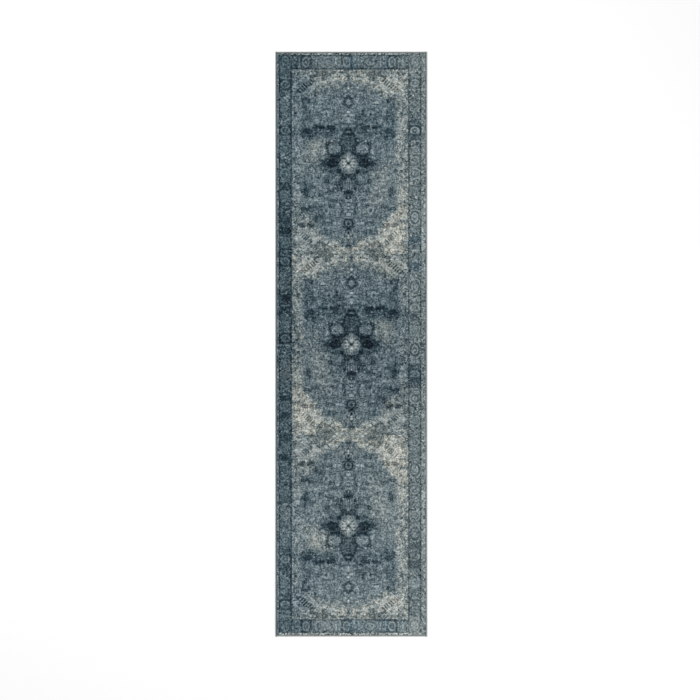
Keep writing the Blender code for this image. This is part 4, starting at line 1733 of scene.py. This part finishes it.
@dataclass
class Cord:
    """The filler cord of a long edge: three plies laid round each other."""

    side: str
    pitch: float = 0.018
    step: float = 0.003
    points: int = 12
    lobe: float = 0.12
    plies: int = 3
    colour: Rgb = (150, 152, 148)
    second: Rgb = (120, 124, 122)

    def build(self) -> bpy.types.Object:
        """Makes the cord.

        Returns:
            The piece.
        """
        node = f"edge_cord_{self.side}"
        box = Box.of(node)
        (cx, _), cz, radius = box.middle(), (box.low + box.high) / 2, (box.high - box.low) / 2
        rings = round((box.north - box.south) / self.step) + 1
        solid = Solid()
        for y in np.linspace(box.south, box.north, rings):
            turn = 2 * math.pi * y / self.pitch
            for n in range(self.points):
                angle = 2 * math.pi * n / self.points
                reach = radius * (1 - self.lobe + self.lobe * math.cos(self.plies * (angle - turn)))
                solid.corners.append((cx + reach * math.cos(angle), y, cz + reach * math.sin(angle)))
        for ring in range(rings - 1):
            for n in range(self.points):
                here, beside = ring * self.points + n, ring * self.points + (n + 1) % self.points
                solid.faces.append([here, beside, beside + self.points, here + self.points])
        solid.faces.append(list(range(self.points))[::-1])
        solid.faces.append([(rings - 1) * self.points + n for n in range(self.points)])
        solid.faces = [face[::-1] for face in solid.faces]
        piece = solid.object(f"{node}_plied")
        finish = PlainWeave(
            f"cord_yarn_{self.side}", self.colour, self.second, warp=0.0009, weft=0.003, height=0.0002
        )
        return keep(piece, finish.material(), "cord_yarn", node)


class Edge(Enum):
    """The four edges that yarn is wound over."""

    LEFT = "left"
    RIGHT = "right"
    HEAD = "head"
    FOOT = "foot"


SERGING_COLOURS = {
    Edge.LEFT: ((106, 119, 124), (128, 138, 141)),
    Edge.RIGHT: ((134, 145, 147), (160, 166, 162)),
    Edge.HEAD: ((124, 131, 131), (152, 156, 151)),
    Edge.FOOT: ((146, 153, 153), (172, 175, 170)),
}


@dataclass
class Serging:
    """Yarn wound closely over one edge of the rug, wrap beside wrap."""

    edge: Edge
    finish: WoundYarn
    pitch: float = 0.0026
    overlap: float = 1.16
    thickness: float = 0.0007
    arc_steps: int = 6
    sink: float = 0.75
    inner_drop: float = 0.00145
    lean: float = 0.0012
    end_squeeze: float = 0.72
    stray: float = -0.00008
    seed: int = 71
    profile: ClassVar[tuple[tuple[float, float], ...]] = (
        (-1.0, 0.0), (-0.6, 0.9), (0.0, 1.25), (0.6, 0.9), (1.0, 0.0), (0.0, -1.0),
    )

    def wrap(self) -> tuple[bpy.types.Object, float, float]:
        """Makes one wrap at the start of its edge: a closed strand that runs over the edge and back under it.

        Returns:
            The wrap, and where the edge starts and ends.
        """
        box = Box.of(f"edge_serging_{self.edge.value}")
        sideways = self.edge in (Edge.LEFT, Edge.RIGHT)
        outward = -1 if self.edge in (Edge.LEFT, Edge.FOOT) else 1
        low, high = (box.west, box.east) if sideways else (box.south, box.north)
        start, stop = (box.south, box.north) if sideways else (box.west, box.east)
        rim, inner = (low, high) if outward < 0 else (high, low)
        radius = (box.high - box.low) / 2 - self.sink * self.thickness
        centre = rim - outward * (box.high - box.low) / 2
        middle = (box.high + box.low) / 2
        foot = inner + outward * self.thickness / 2
        drop = self.inner_drop if sideways else 0.0
        line = [(foot, middle + radius - drop), ((foot + centre) / 2, middle + radius - 0.35 * drop)]
        for n in range(self.arc_steps + 1):
            angle = math.pi * (0.5 - n / self.arc_steps)
            line.append((centre + outward * radius * math.cos(angle), middle + radius * math.sin(angle)))
        line += [((foot + centre) / 2, middle - radius + 0.1 * drop), (foot, middle - radius + 0.1 * drop)]
        half, thick = self.pitch * self.overlap / 2, self.thickness / 2
        section = [(across * half, out * thick) for across, out in self.profile]
        return self.strand(line, section, start, sideways, outward), start, stop

    def strand(
        self,
        line: list[tuple[float, float]],
        section: list[tuple[float, float]],
        start: float,
        sideways: bool,
        outward: int,
    ) -> bpy.types.Object:
        """Sweeps the yarn's section along a wrap's line.

        Args:
            line: the line's places across the edge and above the floor.
            section: the section's places along the edge and out from the line.
            start: where the edge starts.
            sideways: the edge is one of the two long ones.
            outward: 1 where the edge faces higher numbers, or -1.

        Returns:
            The wrap.
        """
        solid, count = Solid(), len(section)
        points = np.array(line)
        ahead = np.gradient(points, axis=0)
        ahead /= np.linalg.norm(ahead, axis=1, keepdims=True)
        normal = np.stack([-ahead[:, 1], ahead[:, 0]], 1) * outward
        for number, (place, out) in enumerate(zip(points, normal)):
            lean = self.lean * (number / (len(points) - 1) - 0.5)
            squeeze = self.end_squeeze if number in (0, len(points) - 1) else 1.0
            for along, height in section:
                across, z = place + out * height * squeeze
                at = start + self.pitch / 2 + along * squeeze + lean
                solid.corners.append((across, at, z) if sideways else (at, across, z))
        for number in range(len(points) - 1):
            for n in range(count):
                a, b = number * count + n, number * count + (n + 1) % count
                solid.faces.append([a, b, b + count, a + count])
        solid.faces.append(list(range(count))[::-1])
        solid.faces.append([(len(points) - 1) * count + n for n in range(count)])
        if (outward > 0) == sideways:
            solid.faces = [face[::-1] for face in solid.faces]
        wrap = solid.object(f"wrap_{self.edge.value}")
        along = [n // count / (len(points) - 1) for n in range(len(solid.corners))]
        across = [n % count / count for n in range(len(solid.corners))]
        for name, values in (("along", along), ("across", across)):
            wrap.data.attributes.new(name, "FLOAT", "POINT").data.foreach_set("value", values)
        return wrap

    def tree(self, material: bpy.types.Material) -> bpy.types.NodeTree:
        """Builds the tree that repeats one wrap along the edge.

        Args:
            material: the yarn's finish.

        Returns:
            The tree, with its inputs named.
        """
        tree = bpy.data.node_groups.new(f"serging_{self.edge.value}", "GeometryNodeTree")
        for name, kind in (
            ("Wrap", "NodeSocketGeometry"),
            ("Count", "NodeSocketInt"),
            ("Step", "NodeSocketVector"),
            ("Stray", "NodeSocketFloat"),
            ("Seed", "NodeSocketInt"),
        ):
            tree.interface.new_socket(name, in_out="INPUT", socket_type=kind)
        tree.interface.new_socket("Edge", in_out="OUTPUT", socket_type="NodeSocketGeometry")
        given = add_node(tree, "NodeGroupInput").outputs
        line = add_node(tree, "GeometryNodeMeshLine", {}, {"Count": given["Count"], "Offset": given["Step"]})
        chance = add_node(tree, "FunctionNodeRandomValue", {"data_type": "FLOAT"}, {"Seed": given["Seed"]})
        lift = add_node(
            tree, "ShaderNodeMath", {"operation": "MULTIPLY"}, {0: chance.outputs[1], 1: given["Stray"]}
        )
        rise = add_node(tree, "ShaderNodeCombineXYZ", {}, {"Z": lift.outputs[0]})
        placed = add_node(
            tree, "GeometryNodeInstanceOnPoints", {}, {"Points": line.outputs[0], "Instance": given["Wrap"]}
        )
        named = add_node(
            tree,
            "GeometryNodeStoreNamedAttribute",
            {"data_type": "FLOAT", "domain": "INSTANCE"},
            {"Geometry": placed.outputs[0], "Name": "strand", "Value": chance.outputs[1]},
        )
        moved = add_node(
            tree,
            "GeometryNodeTranslateInstances",
            {},
            {"Instances": named.outputs[0], "Translation": rise.outputs[0]},
        )
        real = add_node(tree, "GeometryNodeRealizeInstances", {}, {"Geometry": moved.outputs[0]})
        dressed = add_node(
            tree, "GeometryNodeSetMaterial", {}, {"Geometry": real.outputs[0], "Material": material}
        )
        add_node(tree, "NodeGroupOutput", {}, {0: dressed.outputs[0]})
        return tree

    def build(self) -> bpy.types.Object:
        """Winds the edge.

        Returns:
            The piece.
        """
        wrap, start, stop = self.wrap()
        material = self.finish.material()
        tree = self.tree(material)
        count = round((stop - start) / self.pitch)
        step = (stop - start) / count
        along = (0.0, step, 0.0) if self.edge in (Edge.LEFT, Edge.RIGHT) else (step, 0.0, 0.0)
        modifier = wrap.modifiers.new("winding", "NODES")
        modifier.node_group = tree
        values = {"Count": count, "Step": along, "Stray": self.stray, "Seed": self.seed}
        for item in tree.interface.items_tree:
            if item.in_out == "INPUT" and item.name in values:
                modifier[item.identifier] = values[item.name]
        wound = bpy.data.meshes.new_from_object(wrap.evaluated_get(bpy.context.evaluated_depsgraph_get()))
        faces, corners = len(wrap.data.polygons), len(wrap.data.loops)
        wrap.modifiers.clear()
        wrap.data = wound
        wrap.name = f"edge_serging_{self.edge.value}_wound"
        self.flat_map(wound, faces, corners, count)
        return keep(wrap, material, "serging_yarn", f"edge_serging_{self.edge.value}")

    @staticmethod
    def flat_map(mesh: bpy.types.Mesh, faces: int, corners: int, count: int) -> None:
        """Gives every wrap a small square of its own in the flat map.

        Args:
            mesh: the wound edge.
            faces: how many faces one wrap has.
            corners: how many face corners one wrap has.
            count: how many wraps there are.
        """
        loops = len(mesh.loops)
        points = np.empty(loops, np.int32)
        mesh.loops.foreach_get("vertex_index", points)
        along, across = (np.empty(len(mesh.vertices), np.float32) for _ in range(2))
        mesh.attributes["along"].data.foreach_get("value", along)
        mesh.attributes["across"].data.foreach_get("value", across)
        wrap = np.arange(loops) // corners
        side = math.ceil(math.sqrt(count))
        u = across[points].copy()
        cell = np.arange(loops) % corners // 4
        section = len(Serging.profile)
        last = (cell < faces - 2) & (cell % section == section - 1)
        u[last & (u < 0.5 / section)] = 1.0
        u = 0.1 + 0.8 * u
        v = 0.1 + 0.8 * along[points]
        corner_map(mesh, np.stack([(wrap % side + u) / side, (wrap // side + v) / side], 1))


@dataclass
class Studio:
    """A plain pale floor, soft lights and a camera straight above the rug."""

    aim: tuple[float, float] = (-0.0066, -0.0307)
    height: float = 8.6
    lens: float = 85.0
    floor_size: float = 60.0
    sky: float = 0.64
    lamp: float = 165.0
    fill_share: float = 0.6
    lamp_size: float = 3.4
    clip: tuple[float, float] = (0.1, 100.0)

    def build(self) -> None:
        """Sets the stage."""
        self.floor()
        self.lights()
        self.camera()

    def floor(self) -> None:
        """Lays the floor."""
        half = self.floor_size / 2
        corners = [(-half, -half, 0), (half, -half, 0), (half, half, 0), (-half, half, 0)]
        solid = Solid(corners, [[0, 1, 2, 3]])
        made = solid.object("floor", smooth=False)
        made.data.materials.append(FloorPaint((248, 248, 248)).material())

    def lights(self) -> None:
        """Hangs a broad soft lamp and evens it out with a pale sky."""
        world = bpy.data.worlds.new("sky")
        world.use_nodes = True
        background = world.node_tree.nodes["Background"]
        background.inputs[0].default_value = (1.0, 1.0, 1.0, 1.0)
        background.inputs[1].default_value = self.sky
        bpy.context.scene.world = world
        for name, place, power in (
            ("key_lamp", (-2.6, 2.2, 5.2), self.lamp),
            ("fill_lamp", (3.2, -2.6, 5.0), self.fill_share * self.lamp),
        ):
            lamp = bpy.data.lights.new(name, "AREA")
            lamp.shape, lamp.size, lamp.energy = "DISK", self.lamp_size, power
            hung = bpy.data.objects.new(name, lamp)
            hung.location = place
            away = math.atan2(math.hypot(place[0], place[1]), place[2])
            hung.rotation_euler = (away, 0.0, math.atan2(place[1], place[0]) + math.pi / 2)
            bpy.context.scene.collection.objects.link(hung)

    def camera(self) -> None:
        """Hangs the camera, level, with the rug's head up."""
        lens = bpy.data.cameras.new("camera")
        lens.lens = self.lens
        lens.clip_start, lens.clip_end = self.clip
        camera = bpy.data.objects.new("camera", lens)
        camera.location = (*self.aim, self.height + CAD_BOX[1].z)
        bpy.context.scene.collection.objects.link(camera)
        bpy.context.scene.camera = camera
        bpy.context.scene.view_settings.view_transform = "Standard"


def main() -> None:
    logging.basicConfig(level=logging.INFO, format="%(message)s")
    Studio().build()
    pile = Pile(Loom()).build()
    cloth = Cloth()
    ground, coat, label = cloth.ground(), cloth.coat(), cloth.label()
    cords = [Cord(side).build() for side in ("left", "right")]
    wound = [
        Serging(edge, WoundYarn(f"serging_yarn_{edge.value}", *colours)).build()
        for edge, colours in SERGING_COLOURS.items()
    ]
    for piece in (*pile, ground, coat, label, *cords, *wound):
        LOG.info("%s: %d faces", piece.name, len(piece.data.polygons))
    box, ribbon = Box.of("ground_weave"), Box.of("care_label")


if __name__ == "__main__":
    main()
